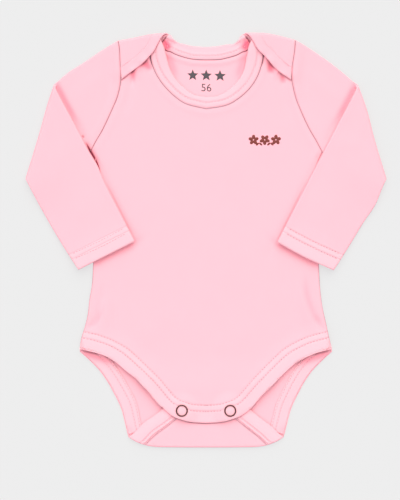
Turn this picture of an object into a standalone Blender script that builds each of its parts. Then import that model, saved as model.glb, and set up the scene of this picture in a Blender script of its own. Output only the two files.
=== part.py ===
"""A long-sleeved baby bodysuit lying flat on its back, snapped, with its sleeves folded over the front.

Tables and sizes are in millimetres. out is the distance from the centre line, up the height along the
body from its middle, and deep the height above the surface that the bodysuit lies on. Each piece of
cloth is shaped as the outer face of its wall, and Solidify adds the wall behind that face.
"""

import math
from collections import namedtuple

import bmesh
import bpy
from mathutils import Vector

MM = 0.001
NAME = "baby_bodysuit"


def table(columns, *rows):
    """The rows of a table, with named columns."""
    row = namedtuple("Row", columns)
    return [row(*values) for values in rows]


# Walls and layers
WALL = 1.0  # one layer of cotton interlock
BAND_WALL = 1.2  # folded neck band
SEAM_GAP = 0.3
BAND_GAP = 0.7  # between a neck band and its panel, which their fold narrows
ARMHOLE_INSET = 0.35  # of the body's edge inside the line of the armhole
BODY_HEIGHT = 2.8  # back and front together, as they lie
EDGE_RADIUS = BODY_HEIGHT / 2  # of the roll along a side seam or a sleeve's edge
ROLL_ANGLE = math.radians(53)  # that the front rolls down and the back rolls up at a side seam
ROLL_LENGTH = ROLL_ANGLE * EDGE_RADIUS
ROLL_RUN = 30.0  # over which the roll starts at the hip, and ends at the underarm
SHOULDER_RADIUS = 2.2  # of the back where it wraps over the shoulder
TAIL_RADIUS = 1.55  # of the back where its tail turns up at the crotch
SLEEVE_LIFT = BODY_HEIGHT + 0.5  # of a folded sleeve over the front
FRONT_BAND_PROUD = 0.1

# Right half of the body's outline, from the hip to the underarm
SIDE_SEAM = table(
    "out up",
    (113.1, -98.0),
    (108.5, -76.5),
    (104.0, -54.0),
    (101.8, -24.3),
    (101.6, 20.0),
    (105.7, 76.5),
)
# From the underarm to the tip of the shoulder
ARMHOLE = table(
    "out up",
    (105.7, 76.5),
    (98.7, 89.5),
    (93.1, 99.3),
    (86.2, 114.7),
    (80.1, 129.7),
    (77.1, 145.0),
    (77.8, 161.8),
    (79.5, 179.7),
)
# Where the back wraps over the shoulder, from the neck to the tip
SHOULDER = table(
    "out up", (0.0, 186.2), (46.0, 186.2), (58.0, 185.2), (68.5, 182.8), (79.5, 179.7)
)
# Where the tail turns up, from the centre out
CROTCH = table(
    "out up",
    (0.0, -186.5),
    (25.5, -186.3),
    (51.5, -184.9),
    (56.9, -183.6),
    (69.5, -177.8),
)

# Leg opening in the front, from the corner of the crotch tab to the hip
FRONT_LEG = table(
    "out up",
    (39.6, -153.4),
    (48.7, -143.6),
    (53.8, -137.3),
    (64.9, -125.3),
    (76.3, -114.3),
    (83.1, -109.3),
    (94.7, -103.5),
    (105.5, -99.9),
    (113.1, -98.0),
)
# End of the front's crotch tab, from its middle out
TAB_END = table(
    "out up", (0.0, -165.2), (13.5, -164.3), (24.8, -161.1), (31.3, -158.6), (39.6, -153.4)
)
# Leg opening in the back, from the crotch to the hip
BACK_LEG = table(
    "out up",
    (70.2, -174.0),
    (72.4, -166.0),
    (76.3, -151.0),
    (83.4, -135.0),
    (88.0, -126.0),
    (94.7, -116.0),
    (104.0, -106.0),
    (113.1, -98.5),
)
# Edge of the tail as it lies turned up, from its end to the crotch
TAIL_EDGE = table(
    "out up", (27.0, -141.0), (39.6, -152.8), (55.2, -165.1), (66.5, -176.0)
)
TAIL_END_UP = -139.0
# Heights on the centre line that belong to the hip, for the rows of the patterns
BACK_HIP_UP = -120.0
FRONT_HIP_UP = -104.0

# Neck of the front: seam and free edge of its band
FRONT_NECK_SEAM = table(
    "out up",
    (0.0, 118.8),
    (17.2, 122.3),
    (28.0, 128.8),
    (38.2, 138.9),
    (45.6, 149.9),
    (50.0, 161.0),
    (51.6, 171.5),
    (50.8, 182.0),
)
FRONT_NECK_EDGE = table(
    "out up",
    (0.0, 129.4),
    (11.0, 131.4),
    (20.5, 137.8),
    (27.4, 145.3),
    (32.4, 153.8),
    (36.0, 166.0),
    (38.0, 173.5),
    (41.5, 181.5),
)
FRONT_SHOULDER_DROP = 3.5  # of the front's shoulder edge below the back's wrap
# Neck of the back, which runs on along the lap. Lap rows are as the lap lies, over the front.
BACK_NECK_SEAM = table(
    "out up", (0.0, 162.1), (12.8, 162.8), (25.2, 166.0), (31.7, 169.2), (39.0, 173.6)
)
LAP_SEAM = table(
    "out up", (53.3, 177.0), (57.9, 172.2), (65.0, 164.6), (72.6, 158.3), (77.4, 154.5)
)
BACK_NECK_EDGE = table("out up", (0.0, 173.4), (17.9, 174.8), (27.1, 178.0))
LAP_EDGE = table(
    "out up",
    (40.9, 180.5),
    (46.5, 171.6),
    (51.7, 166.1),
    (59.2, 158.1),
    (67.2, 151.5),
    (76.6, 144.0),
)

# Sleeve, as it lies folded along the line between its two fold corners
FOLD_TOP = Vector((136.2, 139.2))
FOLD_UNDER = Vector((162.2, 54.9))
CUFF_INNER = Vector((63.6, -1.4))
CUFF_OUTER = Vector((114.5, -26.8))
SAG_RUN = 14.0  # over which a folded sleeve comes down beside the body
SAG_CLEAR = 1.5
SLEEVE_RISES = (0.5, 2.0)  # heights between which its soft folds set in, as its underside is flat

# Snaps
SNAP_OUT = 21.7
SNAP_UP = -153.0
SNAP_STEPS = 24
CAP_RADIUS = 5.5
CAP_HOLE = 4.1
CAP_HEIGHT = 0.8
STUD_RADIUS = 4.5
STUD_HEIGHT = 0.5
NUB_RADIUS = 1.8
NUB_HEIGHT = 0.9
SOCKET_RADIUS = 4.8
SOCKET_HOLE = 2.3
SOCKET_HEIGHT = 0.8
RING_HEIGHT = 0.5
EASED_EDGE = 0.35  # of a ring's upper edges
TAB_OVER_TAIL = 1.7  # lift of the front where it lies on the tail
TAIL_RAMP = (1.5, 20.0)  # distances from the tail's edge between which that lift fades
TAIL_RAMP_ASIDE = 0.7  # of a distance level with the edge, as the edge slants
TAB_OVER_SNAP = 2.0  # further lift over each snap
SNAP_RAMP = (6.5, 18.0)  # distances from a snap's middle between which that lift fades

# Soft folds: a trough or ridge from one place to another. side is +1 or -1 for one half, 0 for both.
FADE_IN = (-0.2, 0.25)  # shares of a fold's length over which it starts
FADE_OUT = (0.75, 1.2)  # and over which it ends
BODY_FOLDS = table(
    "side out up to_out to_up breadth rise",
    (0, 69.0, 152.0, 76.0, 112.0, 5.0, -0.45),
    (0, 95.0, -44.0, 104.0, -80.0, 5.0, -0.45),
    (0, 88.0, -50.0, 97.0, -84.0, 6.0, 0.6),
    (-1, 30.0, -60.0, 62.0, -92.0, 12.0, 0.5),
    (1, 20.0, 60.0, 64.0, 88.0, 14.0, 0.5),
    (1, 12.0, -98.0, 40.0, -78.0, 10.0, 0.4),
)
SLEEVE_FOLDS = table(
    "side out up to_out to_up breadth rise",
    (0, 89.0, 160.0, 92.0, 118.0, 5.0, -0.4),
    (0, 98.0, 150.0, 116.0, 126.0, 6.0, 0.5),
    (-1, 118.0, 92.0, 140.0, 70.0, 7.0, 0.6),
    (1, 112.0, 84.0, 138.0, 84.0, 7.0, 0.6),
    (0, 96.0, 40.0, 116.0, 22.0, 8.0, 0.5),
)

# Mesh density
LINE_STEPS = 40  # of a line that others are read from
CURVE_STEPS = 12  # between two places of a table
CUT_SNAP = 0.2  # a cut takes a vertex this near as its own
BODY_COLUMNS = 11
ROLL_SHARES = (0.33, 0.67, 0.93, 1.0)  # of the roll at a side, where its columns are
LEG_ROWS = 11
TAIL_ROWS = 3
SIDE_ROWS = 9
YOKE_ROWS = 8
LAP_ROWS = 3
SHOULDER_ROWS = 3
FOLD_CUTS = 11
SLEEVE_NEAR = 5
SLEEVE_TURN = 6
SLEEVE_FAR = 14
SLEEVE_ACROSS = 8
SLEEVE_EDGE_STEPS = 3


def points(rows):
    """A table's places as plane vectors."""
    return [Vector((row.out, row.up)) for row in rows]


def curve(through, count):
    """count + 1 points spaced evenly along the smooth curve through these points."""
    ends = [through[0], *through, through[-1]]
    dense = []
    for before, start, end, after in zip(ends, ends[1:], ends[2:], ends[3:]):
        for step in range(CURVE_STEPS):
            t = step / CURVE_STEPS
            dense.append(
                0.5
                * (
                    2 * start
                    + (end - before) * t
                    + (2 * before - 5 * start + 4 * end - after) * t**2
                    + (3 * start - before - 3 * end + after) * t**3
                )
            )
    dense.append(through[-1].copy())
    run = [0.0]
    for start, end in zip(dense, dense[1:]):
        run.append(run[-1] + (end - start).length)
    even = []
    at = 0
    for step in range(count + 1):
        target = run[-1] * step / count
        while at < len(run) - 2 and run[at + 1] < target:
            at += 1
        share = (target - run[at]) / (run[at + 1] - run[at])
        even.append(dense[at].lerp(dense[at + 1], min(1.0, share)))
    return even


def patch(bottom, top, left, right):
    """Rows of points that fill the four-sided area between these edges."""
    rows = []
    for j, (start, end) in enumerate(zip(left, right)):
        v = j / (len(left) - 1)
        row = []
        for i, (low, high) in enumerate(zip(bottom, top)):
            u = i / (len(bottom) - 1)
            across = start.lerp(end, u)
            along = low.lerp(high, v)
            corners = bottom[0].lerp(bottom[-1], u).lerp(top[0].lerp(top[-1], u), v)
            row.append(across + along - corners)
        rows.append(row)
    return rows


def inset(edge, distance):
    """The edge moved to its left by this distance, seen along the edge."""
    moved = []
    for i, point in enumerate(edge):
        run = edge[min(i + 1, len(edge) - 1)] - edge[max(i - 1, 0)]
        run.normalize()
        moved.append(point + distance * Vector((-run.y, run.x)))
    return moved


def read(line, given, value):
    """The line's other coordinate where its given one (0 for out, 1 for up) has this value."""
    for start, end in zip(line, line[1:]):
        if value <= end[given]:
            share = max(0.0, (value - start[given]) / (end[given] - start[given]))
            return start[1 - given] + (end[1 - given] - start[1 - given]) * share
    return line[-1][1 - given]


SIDE_LINE = curve(points(SIDE_SEAM), LINE_STEPS)
SHOULDER_LINE = curve(points(SHOULDER), LINE_STEPS)
CROTCH_LINE = curve(points(CROTCH), LINE_STEPS)
TAIL_LINE = curve(list(reversed(points(TAIL_EDGE))), LINE_STEPS)


def half_width(up):
    """The body's half width at this height, between the hip and the underarm."""
    return read(SIDE_LINE, 1, up)


def ease(value, start, end):
    """0 at start, 1 at end, smooth between."""
    share = min(1.0, max(0.0, (value - start) / (end - start)))
    return share * share * (3 - 2 * share)


def turn(past, radius):
    """How far cloth reaches, and how high it lies, this far past the start of a fold of 180 degrees."""
    if past <= 0:
        return past, 0.0
    if past < math.pi * radius:
        angle = past / radius
        return radius * math.sin(angle), radius * (1 - math.cos(angle))
    return math.pi * radius - past, 2 * radius


def unfold(point, line, radius, up_sign):
    """Where a place on a folded-over flap is on the flat pattern."""
    start = read(line, 0, point.x) - up_sign * radius
    back = (start - point.y) * up_sign
    return Vector((point.x, start + up_sign * (math.pi * radius + back)))


def relief(folds, x, y):
    """Height of the soft folds here."""
    total = 0.0
    for fold in folds:
        if fold.side * x < 0:
            continue
        here = Vector((abs(x), y))
        start = Vector((fold.out, fold.up))
        run = Vector((fold.to_out, fold.to_up)) - start
        along = (here - start).dot(run) / run.length_squared
        aside = abs((here - start).cross(run)) / run.length
        ends = ease(along, *FADE_IN) * (1 - ease(along, *FADE_OUT))
        total += fold.rise * ends * math.exp(-((aside / fold.breadth) ** 2))
    return total


def rolled(up):
    """How much of the side's roll there is at this height: none at the leg openings and armholes."""
    hip, underarm = SIDE_SEAM[0].up, SIDE_SEAM[-1].up
    return ease(up, hip, hip + ROLL_RUN) * (1 - ease(up, underarm - ROLL_RUN, underarm))


def roll_side(x, y):
    """Where the pattern's x goes at the rolled side, and how far the cloth turns from its level."""
    amount = rolled(y)
    start = half_width(y) - EDGE_RADIUS
    past = abs(x) - start
    if past <= 0 or amount <= 0:
        return x, 0.0
    radius = EDGE_RADIUS / amount
    out = start + radius * math.sin(past / radius)
    return math.copysign(out, x), radius * (1 - math.cos(past / radius))


def side_edges(count):
    """The side of the pattern from hip to underarm: where the roll starts, and the cut edge."""
    seam = curve(points(SIDE_SEAM), count)
    start = [Vector((p.x - EDGE_RADIUS, p.y)) for p in seam]
    edge = []
    for p in seam:
        spare = (ROLL_LENGTH - EDGE_RADIUS) * rolled(p.y)
        edge.append(Vector((p.x + spare, p.y)))
    return start, edge


def open_edges(edge):
    """An edge with no roll: the last columns run beside it, to the left seen along it."""
    return inset(edge, EDGE_RADIUS), edge


def joined(*edges):
    """Edges one after the other, each without the point that it shares with the last."""
    whole = list(edges[0])
    for edge in edges[1:]:
        whole += edge[1:]
    return whole


def spaced(start, end, count):
    """count + 1 points spaced evenly on the straight line between two heights of the centre line."""
    return [Vector((0.0, start + (end - start) * i / count)) for i in range(count + 1)]


def mirrored(half_rows):
    """Rows from the left side to the right, from rows that start at the centre line."""
    rows = []
    for half in half_rows:
        left = [Vector((-p.x, p.y)) for p in reversed(half[1:])]
        rows.append(left + half)
    return rows


def with_roll(rows, edge):
    """The rows lengthened to the cut edge, by the columns that a roll needs."""
    longer = []
    for row, end in zip(rows, edge):
        extra = [row[-1].lerp(end, share) for share in ROLL_SHARES]
        longer.append(row + extra)
    return longer


def body_rows(bottom, leg, centre, top, armhole):
    """Rows of a whole panel's flat pattern, from its low end to its neck."""
    leg_start, leg_edge = open_edges(leg)
    seam_start, seam_edge = side_edges(SIDE_ROWS)
    low_right = joined(leg_start, seam_start)
    low_edge = joined(leg_edge, seam_edge)
    bottom = [*bottom[:-1], low_right[0]]
    columns = len(bottom) - 1
    chest = [Vector((low_right[-1].x * i / columns, low_right[-1].y)) for i in range(columns + 1)]
    low = with_roll(patch(bottom, chest, centre, low_right), low_edge)
    arm_start, arm_edge = open_edges(armhole)
    arm_start[0] = low_right[-1]
    arm_edge[0] = low_edge[-1]
    top = [*top[:-1], arm_start[-1]]
    middle = spaced(chest[0].y, top[0].y, len(armhole) - 1)
    high = with_roll(patch(chest, top, middle, arm_start), arm_edge)
    return mirrored(low + high[1:])


def sheet(bm, rows, place):
    """A grid of faces with its corners at these rows of pattern points, each set in space by place."""
    across, along = len(rows[0]) - 1, len(rows) - 1
    made = bmesh.ops.create_grid(bm, x_segments=across, y_segments=along, size=1.0)
    for vert in made["verts"]:
        i = round((vert.co.x + 1) / 2 * across)
        j = round((vert.co.y + 1) / 2 * along)
        vert.co = place(rows[j][i])


def cut_across(bm, start, end):
    """Cuts the flat pattern along level lines between two heights, so that it can fold there."""
    for step in range(FOLD_CUTS + 1):
        up = start + (end - start) * step / FOLD_CUTS
        geometry = bm.verts[:] + bm.edges[:] + bm.faces[:]
        bmesh.ops.bisect_plane(
            bm, geom=geometry, dist=CUT_SNAP, plane_co=(0, up, 0), plane_no=(0, 1, 0)
        )


def material(name, colour, roughness, metallic=0.0):
    """A Principled material."""
    made = bpy.data.materials.new(name)
    made.use_nodes = True
    shader = made.node_tree.nodes["Principled BSDF"]
    shader.inputs["Base Color"].default_value = (*colour, 1.0)
    shader.inputs["Roughness"].default_value = roughness
    shader.inputs["Metallic"].default_value = metallic
    return made


def new_object(name, bm, surface):
    """An object in the bodysuit's collection, from a bmesh in millimetres."""
    bmesh.ops.scale(bm, vec=(MM, MM, MM), verts=bm.verts[:])
    mesh = bpy.data.meshes.new(name)
    bm.to_mesh(mesh)
    bm.free()
    mesh.materials.append(surface)
    mesh.shade_smooth()
    made = bpy.data.objects.new(name, mesh)
    bpy.data.collections[NAME].objects.link(made)
    return made


def cloth(name, bm, surface, wall):
    """A cloth piece from its outer face, with the wall behind it."""
    made = new_object(name, bm, surface)
    solidify = made.modifiers.new("wall", "SOLIDIFY")
    solidify.thickness = wall * MM
    solidify.offset = -1.0
    return made


def back_face(p):
    """The back's outer face: it lies down, wraps over the shoulders and turns up at the crotch."""
    x, deep = roll_side(p.x, p.y)
    y = p.y
    wrap = read(SHOULDER_LINE, 0, abs(x)) - SHOULDER_RADIUS
    tuck = read(CROTCH_LINE, 0, abs(x)) + TAIL_RADIUS
    if y > wrap:
        reach, deep = turn(y - wrap, SHOULDER_RADIUS)
        y = wrap + reach
    elif y < tuck:
        reach, deep = turn(tuck - y, TAIL_RADIUS)
        y = tuck - reach
    return Vector((x, y, deep))


def front_level(x, y):
    """Height of the front's outer face, which rides over the tail and the snaps."""
    aside = TAIL_RAMP_ASIDE * (abs(x) - read(TAIL_LINE, 1, y))
    on_tail = 1 - ease(max(y - TAIL_END_UP, aside), *TAIL_RAMP)
    from_snap = math.hypot(abs(x) - SNAP_OUT, y - SNAP_UP)
    on_snap = 1 - ease(from_snap, *SNAP_RAMP)
    lift = TAB_OVER_TAIL * on_tail + TAB_OVER_SNAP * on_snap
    inside_seam = ease(half_width(y) - abs(x), EDGE_RADIUS, 3 * EDGE_RADIUS)
    return BODY_HEIGHT + lift + relief(BODY_FOLDS, x, y) * inside_seam


def front_face(p):
    """The front's outer face, which rolls down at the side seams."""
    x, drop = roll_side(p.x, p.y)
    return Vector((x, p.y, front_level(x, p.y) - drop))


def flat(p):
    """A pattern point as it is before the piece is folded."""
    return Vector((p.x, p.y, 0.0))


def back_pattern():
    """Rows of the back's flat pattern, with its tail and its laps."""
    armhole = inset(curve(points(ARMHOLE), YOKE_ROWS), ARMHOLE_INSET)
    lap_end = [p for p in reversed(points(ARMHOLE)) if p.y > LAP_SEAM[-1].up]
    lap_end = [unfold(p, SHOULDER_LINE, SHOULDER_RADIUS, 1) for p in lap_end]
    lap_end.append(unfold(points(LAP_SEAM)[-1], SHOULDER_LINE, SHOULDER_RADIUS, 1))
    lap_end = curve([armhole[-1], *inset(lap_end, ARMHOLE_INSET)[1:]], LAP_ROWS)
    tail = [unfold(p, CROTCH_LINE, TAIL_RADIUS, -1) for p in points(TAIL_EDGE)]
    leg = curve(tail + points(BACK_LEG), LEG_ROWS + TAIL_ROWS)
    end_up = unfold(Vector((0.0, TAIL_END_UP)), CROTCH_LINE, TAIL_RADIUS, -1).y
    bottom = curve([Vector((0.0, end_up)), leg[0]], BODY_COLUMNS)
    centre = joined(
        spaced(end_up, BACK_HIP_UP, LEG_ROWS + TAIL_ROWS),
        spaced(BACK_HIP_UP, SIDE_SEAM[-1].up, SIDE_ROWS),
    )
    return body_rows(bottom, leg, centre, back_neck(BODY_COLUMNS)[0], joined(armhole, lap_end))


def back_neck(count):
    """The seam and the free edge of the back's neck band on the flat pattern."""
    lines = []
    for neck, lap in ((BACK_NECK_SEAM, LAP_SEAM), (BACK_NECK_EDGE, LAP_EDGE)):
        laid = [unfold(p, SHOULDER_LINE, SHOULDER_RADIUS, 1) for p in points(lap)]
        lines.append(curve(points(neck) + laid, count))
    return lines


def cut_folds(bm):
    """Cuts that let a back piece wrap over the shoulders and turn up at the crotch."""
    wrap_low = SHOULDER[-1].up - SHOULDER_RADIUS
    wrap_high = SHOULDER[0].up + (math.pi - 1) * SHOULDER_RADIUS
    cut_across(bm, wrap_low, wrap_high)
    tuck_high = CROTCH[-1].up + TAIL_RADIUS
    tuck_low = CROTCH[0].up - (math.pi - 1) * TAIL_RADIUS
    cut_across(bm, tuck_high, tuck_low)


def fold_back(bm):
    """Folds a back piece from its flat pattern, and turns its faces to the outside."""
    for vert in bm.verts:
        vert.co = back_face(vert.co)
    bmesh.ops.reverse_faces(bm, faces=bm.faces[:])


def back_panel(surface):
    """The back, with a lap over each shoulder and the tail turned up at the crotch."""
    bm = bmesh.new()
    sheet(bm, back_pattern(), flat)
    cut_folds(bm)
    fold_back(bm)
    return cloth("back_panel", bm, surface, WALL)


def front_pattern():
    """Rows of the front's flat pattern, from the crotch tab to the neck and shoulders."""
    leg = curve(points(FRONT_LEG), LEG_ROWS)
    bottom = curve(points(TAB_END), BODY_COLUMNS)
    centre = joined(
        spaced(TAB_END[0].up, FRONT_HIP_UP, LEG_ROWS),
        spaced(FRONT_HIP_UP, SIDE_SEAM[-1].up, SIDE_ROWS),
    )
    neck = curve(points(FRONT_NECK_SEAM), BODY_COLUMNS)
    tip = ARMHOLE[-1].out - SEAM_GAP
    outs = [tip + (neck[-1].x - tip) * k / SHOULDER_ROWS for k in range(SHOULDER_ROWS + 1)]
    shoulder = [Vector((out, read(SHOULDER_LINE, 0, out) - FRONT_SHOULDER_DROP)) for out in outs]
    armhole = [p for p in points(ARMHOLE) if p.y < shoulder[0].y]
    armhole = inset(curve([*armhole, shoulder[0]], YOKE_ROWS), ARMHOLE_INSET)
    shoulder[0] = armhole[-1]
    return body_rows(bottom, leg, centre, neck, joined(armhole, shoulder))


def front_panel(surface):
    """The front, with its crotch tab."""
    bm = bmesh.new()
    sheet(bm, front_pattern(), front_face)
    return cloth("front_panel", bm, surface, WALL)


def band_rows(seam, edge):
    """Rows of a neck band's pattern, from the right end of its seam to the left end of its edge."""
    rows = []
    for share in (0.0, 0.5, 1.0):
        row = []
        for low, high in zip(seam, edge):
            low = low + (high - low).normalized() * BAND_GAP
            row.append(low.lerp(high, share))
        rows.append(row)
    return mirrored(rows)


def neck_band_back(surface):
    """The band along the back's neck, which folds over with both laps."""
    bm = bmesh.new()
    sheet(bm, band_rows(*back_neck(BODY_COLUMNS)), flat)
    cut_folds(bm)
    fold_back(bm)
    return cloth("neck_band_back", bm, surface, BAND_WALL)


def neck_band_front(surface):
    """The band along the front's neck, whose ends lie under the laps."""
    bm = bmesh.new()
    seam = curve(points(FRONT_NECK_SEAM), BODY_COLUMNS)
    edge = curve(points(FRONT_NECK_EDGE), BODY_COLUMNS)
    deep = BODY_HEIGHT + FRONT_BAND_PROUD
    sheet(bm, band_rows(seam, edge), lambda p: Vector((p.x, p.y, deep)))
    return cloth("neck_band_front", bm, surface, BAND_WALL)


def on_body(x, y):
    """How much a folded sleeve is held up here by the body and the sleeve under it, from 0 to 1."""
    beside = x - half_width(min(y, SIDE_SEAM[-1].up))
    underarm = points(SIDE_SEAM)[-1]
    run = (FOLD_UNDER - underarm).normalized()
    below = run.cross(Vector((x, y)) - underarm) * -1
    away = max(0.0, min(beside, below))
    return 1 - ease(away, SAG_CLEAR, SAG_RUN)


def sleeve_stations():
    """Each ring's under and top ends, height, direction of its front and share of the armhole."""
    out_of_fold = (FOLD_TOP - FOLD_UNDER).orthogonal().normalized()
    if out_of_fold.x < 0:
        out_of_fold.negate()
    plate = BODY_HEIGHT / 2
    turn_radius = SLEEVE_LIFT / 2
    reach = turn_radius + plate

    def where_fold_starts(corner, other):
        return corner.lerp(other, reach / abs((other - corner).dot(out_of_fold)))

    tip, underarm = points(ARMHOLE)[-1], points(ARMHOLE)[0]
    near_top = where_fold_starts(FOLD_TOP, tip)
    near_under = where_fold_starts(FOLD_UNDER, underarm)
    far_top = where_fold_starts(FOLD_TOP, CUFF_INNER)
    far_under = where_fold_starts(FOLD_UNDER, CUFF_OUTER)
    up = Vector((0, 0, 1))
    stations = []
    for k in range(SLEEVE_NEAR):
        t = k / SLEEVE_NEAR
        under, top = underarm.lerp(near_under, t), tip.lerp(near_top, t)
        stations.append((under, top, plate, up, (1 - t) ** 2))
    for k in range(SLEEVE_TURN + 1):
        t = k / SLEEVE_TURN
        angle = math.pi * t
        bulge = out_of_fold * turn_radius * math.sin(angle)
        under, top = near_under.lerp(far_under, t) + bulge, near_top.lerp(far_top, t) + bulge
        deep = plate + turn_radius * (1 - math.cos(angle))
        facing = up * math.cos(angle) - out_of_fold.to_3d() * math.sin(angle)
        stations.append((under, top, deep, facing, 0.0))
    for k in range(1, SLEEVE_FAR + 1):
        t = k / SLEEVE_FAR
        under, top = far_under.lerp(CUFF_OUTER, t), far_top.lerp(CUFF_INNER, t)
        stations.append((under, top, plate + SLEEVE_LIFT, -up, 0.0))
    return stations


def sleeve_ring(length):
    """Places round a flattened sleeve: along its width, and out from its middle plane."""
    radius = EDGE_RADIUS
    ring = []
    for k in range(SLEEVE_ACROSS):
        ring.append((radius + (length - 2 * radius) * k / SLEEVE_ACROSS, radius))
    for k in range(SLEEVE_EDGE_STEPS):
        angle = math.pi * k / SLEEVE_EDGE_STEPS
        ring.append((length - radius + radius * math.sin(angle), radius * math.cos(angle)))
    for k in range(SLEEVE_ACROSS):
        ring.append((length - radius - (length - 2 * radius) * k / SLEEVE_ACROSS, -radius))
    for k in range(SLEEVE_EDGE_STEPS + 1):
        angle = math.pi * k / SLEEVE_EDGE_STEPS
        ring.append((radius - radius * math.sin(angle), -radius * math.cos(angle)))
    return ring


def sleeve_rows():
    """Rings of the right sleeve, from the armhole to the cuff."""
    armhole = curve(points(ARMHOLE), LINE_STEPS)
    chord = armhole[-1] - armhole[0]
    aside = Vector((chord.y, -chord.x)).normalized() * SEAM_GAP
    rows = []
    for under, top, deep, facing, at_armhole in sleeve_stations():
        run = top - under
        length = run.length
        ring = []
        for along, out in sleeve_ring(length):
            share = min(1.0, max(0.0, along / length))
            place = (under + run * (along / length)).to_3d()
            on_curve = armhole[0].lerp(armhole[-1], share)
            curved = armhole[round(share * LINE_STEPS)] - on_curve + aside
            place += (curved * at_armhole).to_3d() + facing * out
            place.z += deep
            if facing.z < 0 and deep > BODY_HEIGHT:
                sag = 1 - on_body(place.x, place.y)
                place.z -= SLEEVE_LIFT * sag
            ring.append(place)
        rows.append(ring)
    return rows


def sleeve(name, side, surface):
    """A sleeve: a flattened tube, folded over the front along a slanting line."""
    bm = bmesh.new()

    def place(p):
        rise = relief(SLEEVE_FOLDS, side * p.x, p.y)
        return Vector((side * p.x, p.y, p.z + rise * ease(p.z, *SLEEVE_RISES)))

    sheet(bm, sleeve_rows(), place)
    bmesh.ops.remove_doubles(bm, verts=bm.verts[:], dist=0.0001)
    if side > 0:
        bmesh.ops.reverse_faces(bm, faces=bm.faces[:])
    return cloth(name, bm, surface, WALL)


def turned(name, profile, side, deep, surface):
    """A turned snap part at one snap: profile is (radius, height) pairs in a closed loop."""
    bm = bmesh.new()
    verts = [bm.verts.new((radius, 0, high)) for radius, high in profile]
    for start, end in zip(verts, verts[1:]):
        bm.edges.new((start, end))
    if profile[0][0] > 0:
        bm.edges.new((verts[-1], verts[0]))
    made = new_object(name, bm, surface)
    made.location = Vector((side * SNAP_OUT, SNAP_UP, deep)) * MM
    screw = made.modifiers.new("turned", "SCREW")
    screw.axis = "Z"
    screw.steps = SNAP_STEPS
    screw.render_steps = SNAP_STEPS
    screw.use_merge_vertices = True
    screw.merge_threshold = 0.00001
    return made


def ring_profile(outer, hole, height):
    """A flat ring with an eased upper edge, outer side first, top to bottom."""
    return [
        (hole + EASED_EDGE, height),
        (outer - EASED_EDGE, height),
        (outer, height / 2),
        (outer, 0.0),
        (hole, 0.0),
        (hole, height / 2),
    ]


def snap(word, side, surface):
    """A closed ring snap: cap on the tab, socket under it, stud on the tail, prong ring behind."""
    tail_top = 2 * TAIL_RADIUS
    ring_deep = WALL + SEAM_GAP
    stud_deep = tail_top + SEAM_GAP
    socket_deep = stud_deep + STUD_HEIGHT + SEAM_GAP
    tab_top = BODY_HEIGHT + TAB_OVER_TAIL + TAB_OVER_SNAP
    stud_profile = [
        (0.0, STUD_HEIGHT + NUB_HEIGHT),
        (NUB_RADIUS, STUD_HEIGHT + NUB_HEIGHT),
        (NUB_RADIUS, STUD_HEIGHT),
        (STUD_RADIUS, STUD_HEIGHT),
        (STUD_RADIUS, 0.0),
        (0.0, 0.0),
    ]
    cap = ring_profile(CAP_RADIUS, CAP_HOLE, CAP_HEIGHT)
    socket = ring_profile(SOCKET_RADIUS, SOCKET_HOLE, SOCKET_HEIGHT)
    ring = ring_profile(CAP_RADIUS, CAP_HOLE, RING_HEIGHT)
    turned(f"snap_cap_{word}", cap, side, tab_top + SEAM_GAP, surface)
    turned(f"snap_socket_{word}", socket, side, socket_deep, surface)
    turned(f"snap_stud_{word}", stud_profile, side, stud_deep, surface)
    turned(f"snap_ring_{word}", ring, side, ring_deep, surface)


def main():
    """Builds the bodysuit."""
    for old in list(bpy.data.objects):
        bpy.data.objects.remove(old, do_unlink=True)
    collection = bpy.data.collections.new(NAME)
    bpy.context.scene.collection.children.link(collection)
    pink = material("pink_interlock", (0.98, 0.62, 0.70), 0.9)
    band = material("pink_rib", (0.97, 0.60, 0.68), 0.9)
    metal = material("dark_snap_metal", (0.16, 0.13, 0.12), 0.35, 1.0)
    back_panel(pink)
    front_panel(pink)
    neck_band_back(band)
    neck_band_front(band)
    for word, side in (("right", 1), ("left", -1)):
        sleeve(f"sleeve_{word}", side, pink)
        snap(word, side, metal)


main()
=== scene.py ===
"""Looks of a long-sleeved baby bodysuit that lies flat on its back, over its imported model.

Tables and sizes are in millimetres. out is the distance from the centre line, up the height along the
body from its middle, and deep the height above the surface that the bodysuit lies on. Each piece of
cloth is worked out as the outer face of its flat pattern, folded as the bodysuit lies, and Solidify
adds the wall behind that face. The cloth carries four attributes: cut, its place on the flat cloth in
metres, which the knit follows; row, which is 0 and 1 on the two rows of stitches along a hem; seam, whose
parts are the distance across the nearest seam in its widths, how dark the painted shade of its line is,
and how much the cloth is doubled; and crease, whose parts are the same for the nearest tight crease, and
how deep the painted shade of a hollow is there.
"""

import math
from collections import namedtuple
from functools import partial

import bmesh
import bpy
import numpy as np
from bpy.props import FloatProperty, FloatVectorProperty, IntProperty, PointerProperty, StringProperty
from mathutils import Matrix, Vector


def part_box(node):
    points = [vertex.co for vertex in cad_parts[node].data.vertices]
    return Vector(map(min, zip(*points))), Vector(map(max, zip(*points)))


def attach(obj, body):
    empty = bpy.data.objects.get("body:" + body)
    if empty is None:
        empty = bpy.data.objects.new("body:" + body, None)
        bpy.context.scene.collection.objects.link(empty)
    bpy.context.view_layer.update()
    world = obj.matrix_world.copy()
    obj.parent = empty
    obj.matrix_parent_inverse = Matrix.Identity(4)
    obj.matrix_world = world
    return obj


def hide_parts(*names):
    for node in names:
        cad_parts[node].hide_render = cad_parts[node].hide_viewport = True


bl_info = {
    "name": "Baby bodysuit looks",
    "version": (1, 0, 0),
    "blender": (4, 5, 0),
    "location": "View3D > Sidebar > Bodysuit",
    "description": "Cloth, sewing, snaps and stage of a baby bodysuit laid flat",
    "category": "Object",
}

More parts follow.
